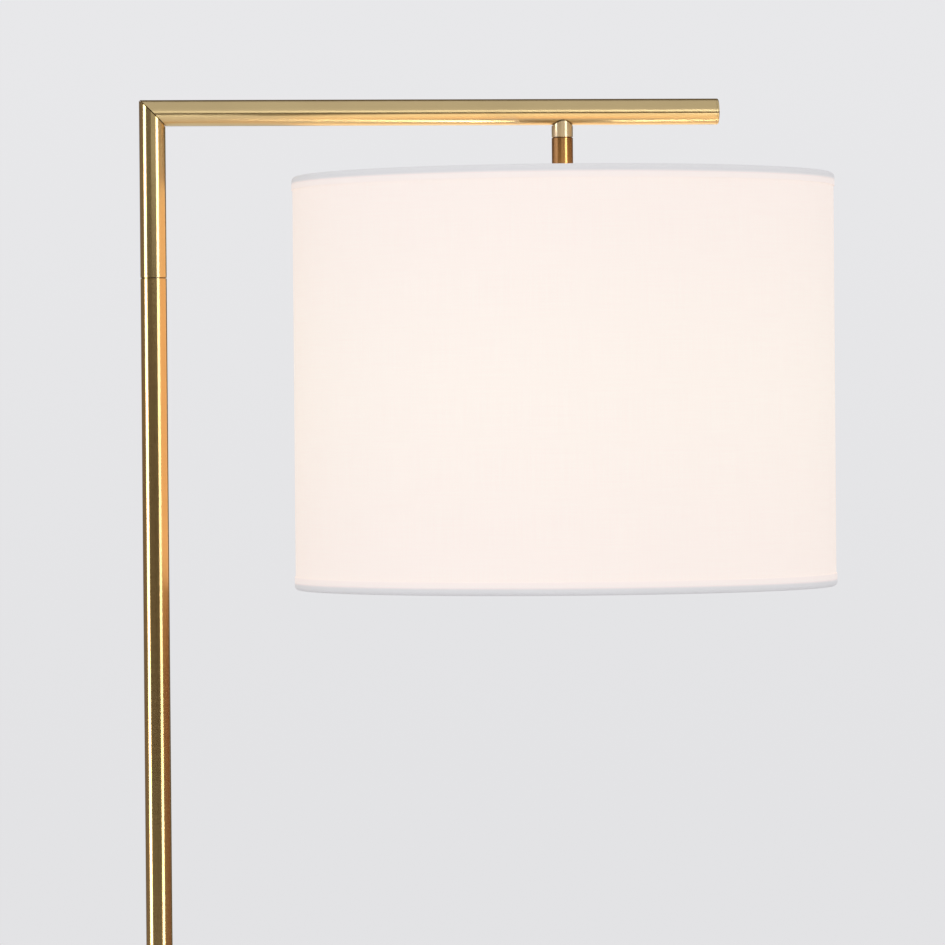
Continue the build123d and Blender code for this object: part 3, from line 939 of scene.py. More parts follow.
WHITE_MOULDING = Moulding("matt_white_moulding", (0.80, 0.80, 0.78), 0.45, (0.68, 0.66, 0.62))
LEAD_SHEATH = Moulding("extruded_sheath", (0.55, 0.52, 0.44), 0.5, (0.45, 0.42, 0.36))
WHITE_PAINT = Moulding("white_wire_paint", (0.82, 0.82, 0.80), 0.42, (0.70, 0.68, 0.64), pebble=1500.0)
BLACK_GLASS = Moulding("black_glass_insulator", (0.03, 0.03, 0.035), 0.15, (0.08, 0.08, 0.08),
                       pebble=900.0, relief=0.03)
FROSTED_GLOBE = LitGlobe("lit_frosted_glass", (0.52, 0.50, 0.46), 0.35)


# Sub-assemblies


def paint(mesh: bpy.types.Mesh, material: bpy.types.Material) -> None:
    """Give a mesh one material and no other."""
    mesh.materials.clear()
    mesh.materials.append(material)


@dataclass
class SubAssembly:
    """Pieces of the lamp that ride on one body."""

    body: str
    pieces: dict[str, bpy.types.Object] = field(default_factory=dict, init=False)

    def keep(self, piece: bpy.types.Object) -> None:
        """Remember a piece under its own name."""
        self.pieces[piece.name] = piece

    def seat(self, name: str, finish: Finish, slot: str, *nodes: str, body: str = "") -> None:
        """Dress a piece and put it on its body.

        Args:
            name: Name of a piece that was built.
            finish: Its finish.
            slot: The record's material slot; not used.
            nodes: CAD nodes that it stands for.
            body: Body that it rides on, where that isn't the sub-assembly's own.
        """
        piece = self.pieces[name]
        paint(piece.data, finish.material())
        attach(piece, body or self.body)
        if nodes:
            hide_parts(*nodes)
        LOG.info("%s: %s on %s", name, finish.name, body or self.body)

    def coat(self, finish: Finish, *nodes: str) -> None:
        """Give a finish to CAD nodes that stay as they are.

        Args:
            finish: Their finish.
            nodes: Names of the nodes.
        """
        for node in nodes:
            paint(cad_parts[node].data, finish.material())
            LOG.info("%s: %s", node, finish.name)


@dataclass
class TubeFrame(SubAssembly):
    """Post sections, mitred corner, arm with its end cap, coped stub and stem."""

    body: str = "lamp"
    sections: int = 3
    wall: float = 0.001
    edge: float = 0.0003
    bevel: float = 2.5
    joint_gap: float = 0.00003
    mitre_gap: float = 0.00015
    mitre_edge: float = 0.0003
    mitre_zone: float = 0.02
    cap_edge: float = 0.0005
    cap_gap: float = 0.00006
    spigot: float = 0.006
    cope_gap: float = 0.0006
    cope_zone: float = 0.002

    def tube(self, radius: float, low: float, high: float, low_edge: float, high_edge: float) -> list[Point]:
        """Draw the outline of a tube with chamfers on its outer edges, each wider than it is high.

        Args:
            radius: Outer radius.
            low: Level of its lower end.
            high: Level of its upper end.
            low_edge: Height of the lower chamfer.
            high_edge: Height of the upper chamfer.

        Returns:
            A closed outline.
        """
        bore = radius - self.wall
        return [(bore, low), (radius - self.bevel * low_edge, low), (radius, low + low_edge),
                (radius, high - high_edge), (radius - self.bevel * high_edge, high), (bore, high)]

    def build(self) -> None:
        """Build the tubes, with fine gaps where they screw together."""
        self.build_post()
        self.build_head()
        self.build_hanger()

    def build_post(self) -> None:
        """Build the straight sections of the post."""
        for index in range(1, self.sections + 1):
            span = Span.of(f"post_section_{index}")
            low, high = span.bottom + self.joint_gap, span.top - self.joint_gap
            self.keep(turned(f"post_tube_{index}", self.tube(span.radius, low, high, self.edge, self.edge)))

    def build_head(self) -> None:
        """Build the mitred corner, the arm and the cap in its end."""
        leg, arm, cap = Span.of("corner_leg"), Span.of("arm_tube"), Span.of("arm_end_cap")
        axis, radius = arm.middle, arm.radius
        along_arm = Matrix.Translation((0, 0, axis)) @ Matrix.Rotation(RIGHT_ANGLE, 4, "Y")

        def mitre_leg(point: Vector) -> Vector:
            """Return a point of the leg, whose upper end is cut at half a right angle."""
            drop = point.x if point.z > axis - self.mitre_zone else 0.0
            return Vector((point.x, point.y, point.z - drop))

        def mitre_arm(point: Vector) -> Vector:
            """Return a point of the arm along its axis, whose start is cut to match."""
            rise = point.x if point.z < self.mitre_zone else 0.0
            return Vector((point.x, point.y, point.z + rise))

        low, high = leg.bottom + self.joint_gap, axis - self.mitre_gap
        outline = self.tube(radius, low, high, self.edge, self.mitre_edge)
        self.keep(turned("corner_tube", outline, shaper=mitre_leg))
        seat, end = arm.high.x, cap.high.x
        outline = self.tube(radius, self.mitre_gap, seat - self.cap_gap, self.mitre_edge, self.cap_gap)
        self.keep(turned("arm_tube_piece", outline, along_arm, shaper=mitre_arm))
        bore = radius - self.wall
        self.keep(turned("arm_cap", [
            (0, seat - self.spigot), (bore, seat - self.spigot), (bore, seat), (radius - self.cap_gap, seat),
            (radius, seat + self.cap_gap), (radius, end - self.cap_edge), (radius - self.cap_edge, end),
            (0, end)], along_arm))

    def build_hanger(self) -> None:
        """Build the stub that is coped to the arm, and the stem under it."""
        arm, stub, stem = Span.of("arm_tube"), Span.of("hang_stub"), Span.of("hang_tube")

        def cope(point: Vector) -> Vector:
            """Return a point of the stub, whose upper end follows the arm's underside."""
            if point.z <= stub.bottom + self.cope_zone:
                return point.copy()
            saddle = math.sqrt(arm.radius ** 2 - point.y ** 2)
            return Vector((point.x, point.y, point.z - saddle - self.cope_gap))

        outline = self.tube(stem.radius, stub.bottom + self.joint_gap, arm.middle, self.edge, self.edge)
        self.keep(turned("stub_tube", outline, hang_place(), shaper=cope))
        outline = self.tube(stem.radius, stem.bottom, stem.top - self.joint_gap, self.edge, self.edge)
        self.keep(turned("stem_tube", outline, hang_place()))

    def dress(self) -> None:
        """Seat the tubes in brass, and coat what is inside them."""
        sections = range(1, self.sections + 1)
        for index in sections:
            self.seat(f"post_tube_{index}", POST_BRASS, "satin_brass", f"post_section_{index}")
        self.seat("corner_tube", LEG_BRASS, "satin_brass", "corner_leg")
        self.seat("arm_tube_piece", HEAD_BRASS, "satin_brass", "arm_tube")
        self.seat("arm_cap", HEAD_BRASS, "satin_brass", "arm_end_cap")
        self.seat("stub_tube", STUB_BRASS_PAINTED_LIGHT, "satin_brass", "hang_stub")
        self.seat("stem_tube", STEM_BRASS_PAINTED_SHADE, "satin_brass", "hang_tube")
        studs = [f"post_stud_{index}" for index in sections]
        sockets = [f"post_socket_{index}" for index in range(1, self.sections + 2)]
        self.coat(ZINC_STEEL, "hang_bush", "hang_nipple", *studs, *sockets)
        self.coat(LEAD_SHEATH, "inner_lead")


@dataclass
class WeightedBase(SubAssembly):
    """Stamped cover over a cast weight, with its foot pad, collar and cord gland."""

    body: str = "lamp"
    sheet: float = 0.0012
    rim_round: float = 0.005
    lip: float = 0.0004
    hole: float = 0.005
    pad_round: float = 0.0006
    collar_foot: float = 0.002
    collar_top: float = 0.010
    collar_bore: float = 0.0081
    collar_edge: float = 0.0002
    collar_step: float = 0.0006
    collar_round: float = 0.0008
    gland_bore: float = 0.0032
    gland_sleeve: float = 0.0041
    gland_edge: float = 0.0002
    gland_inner_round: float = 0.0003
    gland_rim_round: float = 0.0007
    gland_mouth_round: float = 0.0008
    segments: int = 288
    gland_segments: int = 64

    def build(self) -> None:
        """Build the turned pieces of the base."""
        cover, pad = Span.of("base_cover"), Span.of("base_pad")
        collar, gland = Span.of("post_collar"), Span.of("cord_gland")
        rim, top, sheet = cover.radius, cover.top, self.sheet
        flange = (gland.high.x - gland.low.x) / 2
        inlet = Matrix.Translation((0, 0, gland.middle)) @ Matrix.Rotation(-RIGHT_ANGLE, 4, "X")
        outline = rounded([
            (rim, cover.bottom, self.lip), (rim, top, self.rim_round), (self.hole, top, 0),
            (self.hole, top - sheet, 0), (rim - sheet, top - sheet, self.rim_round - sheet),
            (rim - sheet, cover.bottom, self.lip / 2)], steps=10)
        drill = rod_cutter(self.gland_sleeve, rim / 2, rim * PAST_EDGE, inlet)
        self.keep(turned("base_cover_piece", outline, segments=self.segments, cutter=drill))
        outline = rounded([
            (0, 0, 0), (pad.radius, 0, self.pad_round), (pad.radius, pad.top, self.pad_round),
            (0, pad.top, 0)])
        self.keep(turned("foot_pad_piece", outline, segments=self.segments))
        foot = collar.bottom + self.collar_foot
        self.keep(turned("collar_piece", rounded([
            (self.collar_bore, collar.bottom, 0), (collar.radius, collar.bottom, self.collar_edge),
            (collar.radius, foot, self.collar_step), (self.collar_top, collar.top, self.collar_round),
            (self.collar_bore, collar.top, 0)])))
        inside, outside = gland.low.y, gland.high.y
        self.keep(turned("gland_piece", rounded([
            (self.gland_bore, inside, self.gland_inner_round), (self.gland_sleeve, inside, self.gland_edge),
            (self.gland_sleeve, rim, 0), (flange, rim, self.gland_edge),
            (flange, outside, self.gland_rim_round), (self.gland_bore, outside, self.gland_mouth_round)]),
            inlet, self.gland_segments))

    def dress(self) -> None:
        """Seat the base in brass, foam and black moulding, and coat what is inside it."""
        self.seat("base_cover_piece", TURNED_BRASS, "satin_brass", "base_cover")
        self.seat("collar_piece", TURNED_BRASS, "satin_brass", "post_collar")
        self.seat("foot_pad_piece", FOOT_FOAM, "foot_pad", "base_pad")
        self.seat("gland_piece", BLACK_MOULDING, "black_moulding", "cord_gland")
        self.coat(CAST_IRON, "base_weight")
        self.coat(ZINC_STEEL, "base_washer", "base_locknut", "base_nipple")
        self.coat(WHITE_MOULDING, "lead_connector")


@dataclass
class LampHolder(SubAssembly):
    """Bell cap, switch body with its knob, threaded skirt, screw shell and shade ring."""

    body: str = "lamp"
    wall: float = 0.001
    bell_round: float = 0.009
    pipe: float = 0.004
    fine_edge: float = 0.0003
    band_edge: float = 0.0004
    soft_edge: float = 0.0005
    groove: float = 0.0007
    groove_inset: float = 0.0025
    groove_edge: float = 0.0002
    skirt: float = 0.0165
    skirt_bore: float = 0.0145
    shell_bore: float = 0.0135
    shell_edge: float = 0.0002
    thread_pitch: float = 0.0025
    thread_turns: float = 5.0
    thread_ridge: float = 0.0005
    thread_sink: float = 0.4
    thread_start: float = 0.0015
    ring_body: float = 0.022
    ring_rim: float = 0.0022
    ring_grips: int = 12
    grip_depth: float = 0.0011
    grip_skin: float = 0.001
    knob_flutes: int = 10
    knob_round: float = 0.0012
    flute_depth: float = 0.0006
    flute_skin: float = 0.0013
    grip_sharpness: float = 0.75
    steps_per_grip: int = 16
    shaft: float = 0.00205
    shaft_seat: float = 0.00705
    shaft_in_knob: float = 0.011

    def build(self) -> None:
        """Build the holder's shells, and the ring and knob with their grips."""
        knob = Span.of("switch_knob")
        knob_place = hang_place(knob.middle) @ Matrix.Rotation(RIGHT_ANGLE, 4, "X")
        self.build_switch(knob_place)
        self.build_skirt()
        self.build_grips(knob, knob_place)

    def build_switch(self, knob_place: Matrix) -> None:
        """Build the bell cap and the grooved body under it, with a bore for the switch's shaft.

        Args:
            knob_place: Where the knob's frame stands in the lamp's frame.
        """
        cap, body, band = Span.of("holder_cap"), Span.of("holder_body"), Span.of("holder_skirt").top
        outer, inner = cap.radius, cap.radius - self.wall
        self.keep(turned("bell_cap", rounded([
            (outer, cap.bottom, self.fine_edge), (outer, cap.top, self.bell_round), (self.pipe, cap.top, 0),
            (self.pipe, cap.top - self.wall, 0), (inner, cap.top - self.wall, self.bell_round - self.wall),
            (inner, cap.bottom, 0)], steps=12), hang_place()))
        drill = rod_cutter(self.shaft, outer - self.shaft_seat, outer * PAST_EDGE, knob_place)
        cut, bend = self.groove, self.groove_edge
        grooves = []
        for level in (band + self.groove_inset, cap.bottom - self.groove_inset):
            grooves += [(outer, level - cut, bend), (outer - cut, level, bend), (outer, level + cut, bend)]
        self.keep(turned("switch_body", rounded([
            (0, body.bottom, 0), (self.skirt_bore, body.bottom, 0), (self.skirt_bore, band, 0),
            (outer, band, self.band_edge), *grooves, (outer, cap.bottom, self.fine_edge),
            (inner, cap.bottom, 0), (inner, body.top, self.fine_edge), (0, body.top, 0)], steps=3),
            hang_place(), cutter=drill))

    def build_skirt(self) -> None:
        """Build the threaded skirt and the screw shell inside it."""
        skirt, shell = Span.of("holder_skirt"), Span.of("holder_screw_shell")
        flange = Span.of("holder_body").bottom
        self.keep(turned("skirt_shell", rounded([
            (self.skirt_bore, skirt.top, 0), (skirt.radius, skirt.top, self.band_edge),
            (skirt.radius, flange, self.band_edge), (self.skirt, flange, 0),
            (self.skirt, skirt.bottom, self.soft_edge), (self.skirt_bore, skirt.bottom, self.fine_edge)],
            steps=4), hang_place()))
        self.keep(thread_tree().piece("skirt_thread", BLACK_MOULDING, {
            "Radius": self.skirt - self.thread_ridge * self.thread_sink, "Turns": self.thread_turns,
            "Height": self.thread_pitch * self.thread_turns, "Ridge": self.thread_ridge},
            hang_place(skirt.bottom + self.thread_start)))
        self.keep(turned("screw_shell", rounded([
            (self.shell_bore, shell.bottom, self.shell_edge),
            (self.skirt_bore, shell.bottom, self.shell_edge), (self.skirt_bore, shell.top, 0),
            (self.shell_bore, shell.top, 0)], steps=3), hang_place()))

    def build_grips(self, knob: Span, knob_place: Matrix) -> None:
        """Build the ring that clamps the shade and the switch's knob.

        Args:
            knob: Where the knob stands.
            knob_place: Where the knob's frame stands in the lamp's frame.
        """
        flutes, ring = flute_tree(), Span.of("shade_ring")
        rim = ring.top - self.ring_rim
        outline = rounded([
            (self.skirt, ring.bottom, 0), (self.ring_body, ring.bottom, self.soft_edge),
            (self.ring_body, rim, 0), (ring.radius, rim, self.fine_edge),
            (ring.radius, ring.top, self.fine_edge), (self.skirt, ring.top, 0)], steps=4)
        self.keep(flutes.piece("shade_clamp_ring", BLACK_MOULDING, {
            "Count": self.ring_grips, "Sharpness": self.grip_sharpness, "Depth": self.grip_depth,
            "Core radius": self.ring_body - self.grip_skin, "Upper level": rim + LEVEL_TOUCH},
            hang_place(), turned_mesh(outline, self.steps_per_grip * self.ring_grips)))
        start, end = -knob.high.y, -knob.low.y
        across, depth = (knob.high.x - knob.low.x) / 2, start + self.shaft_in_knob
        outline = rounded([
            (0, depth, 0), (self.shaft, depth, 0), (self.shaft, start, 0), (across, start, self.fine_edge),
            (across, end, self.knob_round), (0, end, 0)], steps=5)
        self.keep(flutes.piece("turn_knob", BLACK_MOULDING, {
            "Count": self.knob_flutes, "Sharpness": self.grip_sharpness, "Depth": self.flute_depth,
            "Core radius": across - self.flute_skin, "Upper level": end - LEVEL_TOUCH},
            knob_place, turned_mesh(outline, self.steps_per_grip * self.knob_flutes)))

    def dress(self) -> None:
        """Seat the holder in brass and black moulding, and the knob on its own body."""
        self.seat("bell_cap", TURNED_BRASS, "satin_brass", "holder_cap")
        self.seat("switch_body", BLACK_MOULDING, "black_moulding", "holder_body")
        self.seat("skirt_shell", BLACK_MOULDING, "black_moulding", "holder_skirt")
        self.seat("skirt_thread", BLACK_MOULDING, "black_moulding")
        self.seat("screw_shell", PLAIN_BRASS, "plain_brass", "holder_screw_shell")
        self.seat("shade_clamp_ring", BLACK_MOULDING, "black_moulding", "shade_ring")
        self.seat("turn_knob", BLACK_MOULDING, "black_moulding", "switch_knob", body="switch_knob")
        self.coat(PLAIN_BRASS, "holder_contact", "switch_shaft")
        self.coat(ZINC_STEEL, "holder_locknut")


@dataclass
class ScrewBulb(SubAssembly):
    """Frosted globe bulb with a tapered neck and a threaded cap, hung cap upwards."""

    body: str = "bulb"
    glass: float = 0.0012
    neck_step: float = 0.0006
    thread_pitch: float = 0.003629
    thread_turns: float = 4.0
    thread_ridge: float = 0.0009
    thread_start: float = 0.0045
    core: float = 0.0126
    core_level: float = 0.0042
    rim_level: float = 0.003
    rim_edge: float = 0.0003
    rim_round: float = 0.0006
    tip: float = 0.0108
    tip_height: float = 0.001
    tip_round: float = 0.0008
    tip_edge: float = 0.0004
    segments: int = 96
    globe_steps: int = 40

    def build(self) -> None:
        """Build the cap with its thread, and the glass."""
        cap, collar, globe = Span.of("bulb_cap"), Span.of("bulb_collar"), Span.of("bulb_globe")
        self.keep(turned("bulb_cap_core", rounded([
            (0, cap.bottom, 0), (cap.radius, cap.bottom, self.rim_edge),
            (cap.radius, cap.bottom + self.rim_level, self.rim_round),
            (self.core, cap.bottom + self.core_level, self.rim_round),
            (self.core, cap.top - self.tip_height, self.tip_round), (self.tip, cap.top, self.tip_edge),
            (0, cap.top, 0)], steps=4), hang_place(), self.segments))
        self.keep(thread_tree().piece("bulb_cap_thread", CAP_METAL, {
            "Radius": cap.radius - self.thread_ridge, "Turns": self.thread_turns,
            "Height": self.thread_pitch * self.thread_turns, "Ridge": self.thread_ridge},
            hang_place(cap.bottom + self.thread_start)))

        radius, inner = globe.radius, globe.radius - self.glass
        centre = globe.bottom + radius
        lean, inner_lean = [math.asin((collar.bottom - centre) / size) for size in (radius, inner)]
        touch, neck = radius * math.cos(lean), cap.radius + self.neck_step
        self.keep(turned("bulb_neck", rounded([
            (touch - self.glass, collar.bottom, 0), (touch, collar.bottom, 0),
            (neck, collar.top, self.neck_step), (neck - self.glass, collar.top, 0)]),
            hang_place(), self.segments))
        outside = arc((0, centre), radius, math.degrees(lean), -90, self.globe_steps)
        inside = arc((0, centre), inner, -90, math.degrees(inner_lean), self.globe_steps)
        self.keep(turned("bulb_globe_piece", outside + inside, hang_place(), self.segments))

    def dress(self) -> None:
        """Seat the bulb in cap metal and frosted, lit glass."""
        self.seat("bulb_cap_core", CAP_METAL, "bulb_metal", "bulb_cap")
        self.seat("bulb_cap_thread", CAP_METAL, "bulb_metal")
        self.seat("bulb_neck", FROSTED_GLOBE, "bulb_globe", "bulb_collar")
        self.seat("bulb_globe_piece", FROSTED_GLOBE, "bulb_globe", "bulb_globe")
        self.coat(BLACK_GLASS, "bulb_insulator")
        self.coat(SOLDER, "bulb_contact")


@dataclass
class DrumShade(SubAssembly):
    """Linen drum on a liner, with trims folded over wire hoops and a three-spoke fitter."""

    body: str = "shade"
    cloth: float = 0.00032
    cloth_room: float = 0.0004
    wall: float = 0.0008
    lap: float = 0.012
    lap_step: float = 0.00035
    seam_angle: float = math.radians(62)
    trim: float = 0.0006
    trim_height: float = 0.008
    turn_in: float = 0.0016
    fold_steps: int = 16
    wire: float = 0.003
    wire_play: float = 0.0002
    fitter_bore: float = 0.0168
    fitter_edge: float = 0.0004
    fitter_round: float = 0.0005
    spoke_count: int = 3
    spoke_first: float = RIGHT_ANGLE
    spoke_flat: float = 0.050
    spoke_rise: float = 0.014
    spoke_bend: float = 0.009
    flange_gap: float = 0.002
    segments: int = 360

    def finishes(self) -> tuple[LitCloth, LitCloth, LitCloth]:
        """Set the shade's finishes to the drum's levels.

        Returns:
            The finishes of cloth, trims and liner.
        """
        top, bottom = Span.of("shade_trim_top").top, Span.of("shade_trim_bottom").bottom
        levels = {"middle": (top + bottom) / 2, "half_height": (top - bottom) / 2}
        cloth = LitCloth("shade_linen", (0.72, 0.72, 0.74), 0.9, **levels)
        trims = LitCloth(
            "trim_linen", (0.81, 0.80, 0.805), 0.9, glow=(0.24, 0.155, 0.105), glow_ends=(0.24, 0.155, 0.105),
            wire_shadow_band=0.0042, **levels)
        # The liner's glow in reflections is painted pale towards the top and orange towards the bottom.
        liner = LitCloth(
            "shade_liner", (0.80, 0.79, 0.76), 0.7, glow=(0.20, 0.155, 0.09), glow_ends=(0.15, 0.115, 0.065),
            reflected_glow=(0.92, 0.80, 0.62), reflected_glow_low=(0.92, 0.36, 0.08), pitch=0.0006, slub=0.1, relief=0.03,
            **levels)
        return cloth, trims, liner

    def flat(self) -> Pair:
        """Return the length and height of the cloth before it is wrapped."""
        drum = Span.of("shade_drum")
        return FULL_TURN * drum.radius + self.lap, drum.top - drum.bottom

    def trim_outline(self, radius: float, edge: float, inwards: float) -> list[Point]:
        """Draw the outline of cloth folded over a wire hoop.

        Args:
            radius: Outer radius of the shade.
            edge: Level of the shade's edge.
            inwards: 1 where the wall lies above that edge, -1 where it lies below.

        Returns:
            A closed outline, from the outside over the wire to the hem inside.
        """
        turn = (self.wall + self.wire + self.wire_play) / 2 + self.trim
        centre = (radius - turn, edge + inwards * turn)
        over = arc(centre, turn, 0, -180 * inwards, self.fold_steps)
        under = arc(centre, turn - self.trim, -180 * inwards, 0, self.fold_steps)
        low, hem = edge + inwards * self.trim_height, centre[1] + inwards * self.turn_in
        return [(radius, low), *over, (radius - 2 * turn, hem), (radius - 2 * turn + self.trim, hem), *under,
                (radius - self.trim, low)]

    def build(self) -> None:
        """Build the drum and the fitter that carries it."""
        self.build_drum()
        self.build_fitter()

    def build_drum(self) -> None:
        """Build the wrapped cloth, the liner under it and the trims."""
        drum, top, bottom = Span.of("shade_drum"), Span.of("shade_trim_top"), Span.of("shade_trim_bottom")
        cloth, _, _ = self.finishes()
        length, height = self.flat()
        self.keep(wrap_tree().piece("shade_cloth", cloth, {
            "Length": length, "Height": height, "Radius": drum.radius, "Seam angle": self.seam_angle,
            "Lap step": self.lap_step}, hang_place(drum.middle), thickness=self.cloth))
        outer, inner = drum.radius - self.cloth_room, drum.radius - self.wall
        outline = [(inner, drum.bottom), (outer, drum.bottom), (outer, drum.top), (inner, drum.top)]
        self.keep(turned("shade_liner", outline, hang_place(), self.segments))
        for name, edge, inwards in (("trim_top", top.top, -1), ("trim_bottom", bottom.bottom, 1)):
            outline = self.trim_outline(top.radius, edge, inwards)
            self.keep(turned(name, outline, hang_place(), self.segments))

    def build_fitter(self) -> None:
        """Build the ring on the lamp holder and the spokes from it to the upper hoop."""
        fitter, hoop, bore = Span.of("shade_fitter"), Span.of("shade_wire_top"), self.fitter_bore
        self.keep(turned("fitter_ring", rounded([
            (bore, fitter.bottom, self.fitter_edge), (fitter.radius, fitter.bottom, self.fitter_round),
            (fitter.radius, fitter.top, self.fitter_round), (bore, fitter.top, self.fitter_edge)], steps=4),
            hang_place()))
        start, end = Span.of("holder_skirt").radius + self.flange_gap, hoop.radius - self.wire / 2
        level = fitter.top + self.wire / 2
        run = bpy.data.meshes.new("spoke run")
        run.from_pydata([
            (start, 0, level), (self.spoke_flat, 0, level), (end, 0, hoop.middle - self.spoke_rise),
            (end, 0, hoop.middle)], [(0, 1), (1, 2), (2, 3)], [])
        self.keep(spider_tree().piece("fitter_spokes", WHITE_PAINT, {
            "Bend": self.spoke_bend, "Wire radius": self.wire / 2, "Count": self.spoke_count,
            "First angle": self.spoke_first}, hang_place(), run))

    def dress(self) -> None:
        """Seat the shade's pieces."""
        cloth, trims, liner = self.finishes()
        self.seat("shade_cloth", cloth, "shade_cloth", "shade_drum")
        self.seat("shade_liner", liner, "shade_cloth", "shade_drum")
        self.seat("trim_top", trims, "trim_cloth", "shade_trim_top")
        self.seat("trim_bottom", trims, "trim_cloth", "shade_trim_bottom")
        self.seat("fitter_ring", WHITE_PAINT, "white_wire", "shade_fitter")
        spokes = [f"shade_spoke_{index}" for index in range(1, self.spoke_count + 1)]
        self.seat("fitter_spokes", WHITE_PAINT, "white_wire", *spokes)
        self.coat(WHITE_PAINT, "shade_wire_top", "shade_wire_bottom")
        self.flat()


# Studio


class Seen(Enum):
    """What a studio lamp gives: streaks in gloss, or soft light."""

    GLOSS = "gloss"
    SOFT = "soft"


@dataclass(frozen=True)
class Softbox:
    """Upright rectangular lamp on a bearing round the post; 0 is the front, positive is towards the shade."""

    name: str
    bearing: float
    distance: float
    width: float
    low: float
    high: float
    radiance: float
    seen: Seen
    colour: Colour = (1.0, 1.0, 1.0)

    def light(self) -> None:
        """Put the lamp in the scene."""
        lamp = bpy.data.lights.new(self.name, "AREA")
        lamp.shape = "RECTANGLE"
        lamp.size, lamp.size_y = self.width, self.high - self.low
        lamp.energy = self.radiance * math.pi * lamp.size * lamp.size_y
        lamp.color = self.colour
        stand = placed(self.name, lamp)
        turn = math.radians(self.bearing)
        across, ahead = self.distance * math.sin(turn), -self.distance * math.cos(turn)
        stand.location = (across, ahead, (self.low + self.high) / 2)
        stand.rotation_euler = (RIGHT_ANGLE, 0, turn)
        stand.visible_camera = False
        stand.visible_diffuse = self.seen is Seen.SOFT
        stand.visible_glossy = self.seen is Seen.GLOSS


@dataclass(frozen=True)
class Card:
    """Curved card round the post that only reflections see, between two bearings."""

    name: str
    start: float
    end: float
    low: float
    high: float
    colour: Colour
    distance: float = 4.3
    front: float = -90.0
    steps: int = 24

    def stand(self) -> None:
        """Put the card in the scene."""
        lower, upper = (self.distance, self.low), (self.distance, self.high)
        first, last = self.front + self.start, self.front + self.end
        card = placed(self.name, ribbon(self.name, lower, upper, first, last, self.steps))
        sheet = MaterialSheet(self.name)
        sheet.shade({"Base Color": BLACK})
        sheet.shine(self.colour)
        paint(card.data, sheet.material)
        card.visible_camera = card.visible_diffuse = card.visible_transmission = False
        card.visible_shadow = card.visible_volume_scatter = False


DIM_BROWN = (0.055, 0.033, 0.006)


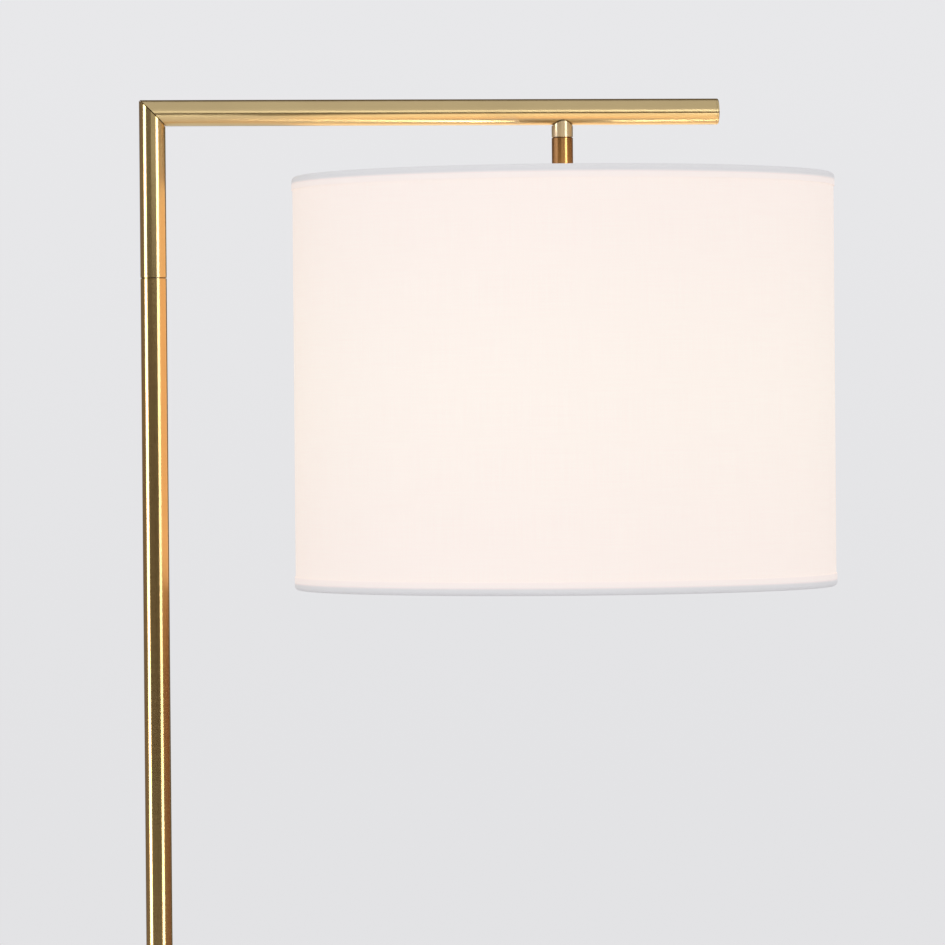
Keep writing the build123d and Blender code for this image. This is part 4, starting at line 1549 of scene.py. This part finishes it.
@dataclass
class Studio:
    """Pale floor and backdrop, soft lamps, cards for the brass to mirror, and the camera."""

    low_sky: Colour = (0.767, 0.767, 0.783)
    high_sky: Colour = (0.807, 0.807, 0.823)
    sky_band: float = 0.09
    floor_colour: Colour = (0.76, 0.76, 0.77)
    floor_reflected_glow: Colour = (0.26, 0.24, 0.22)
    floor_roughness: float = 0.8
    floor_grain: float = 60.0
    floor_tint: float = 0.985
    floor_radius: float = 4.6
    floor_fade: float = 2.2
    floor_gone: float = 0.98
    floor_drop: float = 0.0002
    floor_lap: float = 0.002
    floor_steps: int = 96
    focal_pixels: float = 5587.037
    image_pixels: float = 945.0
    sensor: float = 36.0
    eye: Triple = (-0.134075, -3.411169, 1.283655)
    yaw: float = 0.0959931
    pitch: float = -0.0093328
    roll: float = -0.008367
    softboxes: tuple[Softbox, ...] = (
        Softbox("left_strip", bearing=-75.0, distance=2.3, width=0.85, low=0.1, high=2.3,
                radiance=6.5, seen=Seen.GLOSS),
        Softbox("right_strip_low", bearing=39.0, distance=2.5, width=0.85, low=0.1, high=0.85,
                radiance=8.0, seen=Seen.GLOSS),
        Softbox("right_strip_high", bearing=39.0, distance=2.5, width=0.85, low=1.42, high=2.05,
                radiance=7.5, seen=Seen.GLOSS),
        Softbox("left_key", bearing=-70.0, distance=3.0, width=2.0, low=0.8, high=2.8,
                radiance=0.85, seen=Seen.SOFT, colour=(0.95, 0.97, 1.0)),
        Softbox("right_fill", bearing=30.0, distance=3.0, width=2.0, low=0.8, high=2.8,
                radiance=0.75, seen=Seen.SOFT),
    )
    cards: tuple[Card, ...] = (
        Card("left_front_card", start=-62, end=-15, low=0.0, high=2.3, colour=DIM_BROWN),
        Card("front_card", start=-15, end=52, low=0.0, high=1.42, colour=DIM_BROWN),
        Card("near_card", start=-15, end=27, low=1.07, high=1.45, colour=DIM_BROWN, distance=0.7),
        Card("stem_flag", start=84.9, end=90.8, low=1.425, high=1.4635, colour=(0.8, 0.75, 0.9),
             distance=0.225),
        Card("side_card", start=52, end=124, low=0.0, high=1.9, colour=(0.22, 0.07, 0.015)),
        Card("back_card", start=125, end=210, low=0.0, high=8.5, colour=(0.14, 0.11, 0.07)),
        Card("left_card", start=-150, end=-91, low=0.0, high=2.6, colour=(0.22, 0.17, 0.14)),
    )

    def build(self) -> None:
        """Set up floor, backdrop, lamps, cards and camera."""
        self.backdrop()
        self.floor()
        for softbox in self.softboxes:
            softbox.light()
        for card in self.cards:
            card.stand()
        self.camera()
        bpy.context.scene.view_settings.view_transform = "Standard"

    def backdrop(self) -> None:
        """Give the world an even pale colour, a touch lighter upwards."""
        world = bpy.data.worlds.new("pale_backdrop")
        world.use_nodes = True
        bpy.context.scene.world = world
        sheet = NodeSheet(world.node_tree)
        up = sheet.split(sheet.put("ShaderNodeTexCoord").outputs["Generated"])["Z"]
        sky = sheet.blend(sheet.scaled(up, -self.sky_band, self.sky_band), self.low_sky, self.high_sky)
        sheet.feed(world.node_tree.nodes["Background"].inputs["Color"], sky)

    def floor(self) -> None:
        """Lay a pale round floor that is open under the foot."""
        opening = Span.of("base_pad").radius - self.floor_lap
        rim, inside = (self.floor_radius, -self.floor_drop), (opening, -self.floor_drop)
        floor = placed("floor", ribbon("floor", rim, inside, 0.0, 360.0, self.floor_steps))
        paint(floor.data, self.floor_material())

    def floor_material(self) -> bpy.types.Material:
        """Draw a floor that fades out at its rim, can't be seen from below, and gives off a painted glow that
        only reflections see.

        Returns:
            The floor's material.
        """
        sheet = MaterialSheet("pale_floor")
        skin = sheet.effect(Effect.MOULDED, Vector=sheet.object_coords, Scale=self.floor_grain)
        tint = sheet.scaled(skin["Tone"], 0.0, 1.0, self.floor_tint, 1.0)
        sheet.shade({
            "Base Color": sheet.blend(1.0, self.floor_colour, tint, "MULTIPLY"),
            "Roughness": self.floor_roughness,
            "Specular IOR Level": 0.0})
        # Painted reflection: the floor gives off a little light that only glossy rays see.
        sheet.shine(sheet.blend(sheet.path["Is Glossy Ray"], BLACK, self.floor_reflected_glow))
        x, y, _ = sheet.split(sheet.object_coords)
        reach = sheet.length(sheet.join(x, y, 0.0))
        fade = sheet.scaled(reach, self.floor_fade, self.floor_radius * self.floor_gone)
        backfacing = sheet.put("ShaderNodeNewGeometry").outputs["Backfacing"]
        under = sheet.math("MULTIPLY", backfacing, sheet.path["Is Camera Ray"])
        clear = sheet.put("ShaderNodeBsdfTransparent").outputs[0]
        mixed = sheet.put("ShaderNodeMixShader", {
            0: sheet.math("MAXIMUM", fade, under), 1: sheet.shader.outputs[0], 2: clear})
        sheet.feed(sheet.tree.nodes["Material Output"].inputs["Surface"], mixed.outputs[0])
        return sheet.material

    def camera(self) -> None:
        """Stand the camera where the picture was taken from."""
        flat = math.cos(self.pitch)
        ahead = Vector((math.sin(self.yaw) * flat, math.cos(self.yaw) * flat, math.sin(self.pitch)))
        level = Vector((math.cos(self.yaw), -math.sin(self.yaw), 0.0))
        upright = level.cross(ahead)
        right = level * math.cos(self.roll) + upright * math.sin(self.roll)
        up = upright * math.cos(self.roll) - level * math.sin(self.roll)
        turn = Matrix((right, up, -ahead)).transposed().to_4x4()
        lens = bpy.data.cameras.new("picture")
        lens.sensor_width = self.sensor
        lens.lens = self.focal_pixels / self.image_pixels * self.sensor
        stand = placed("picture", lens)
        stand.matrix_world = Matrix.Translation(self.eye) @ turn
        bpy.context.scene.camera = stand


def main() -> None:
    """Build and dress every sub-assembly and set the studio up."""
    logging.basicConfig(level=logging.INFO, format="%(message)s")
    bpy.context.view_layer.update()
    for part in (TubeFrame(), WeightedBase(), LampHolder(), ScrewBulb(), DrumShade()):
        part.build()
        part.dress()
    Studio().build()


if __name__ == "__main__":
    main()
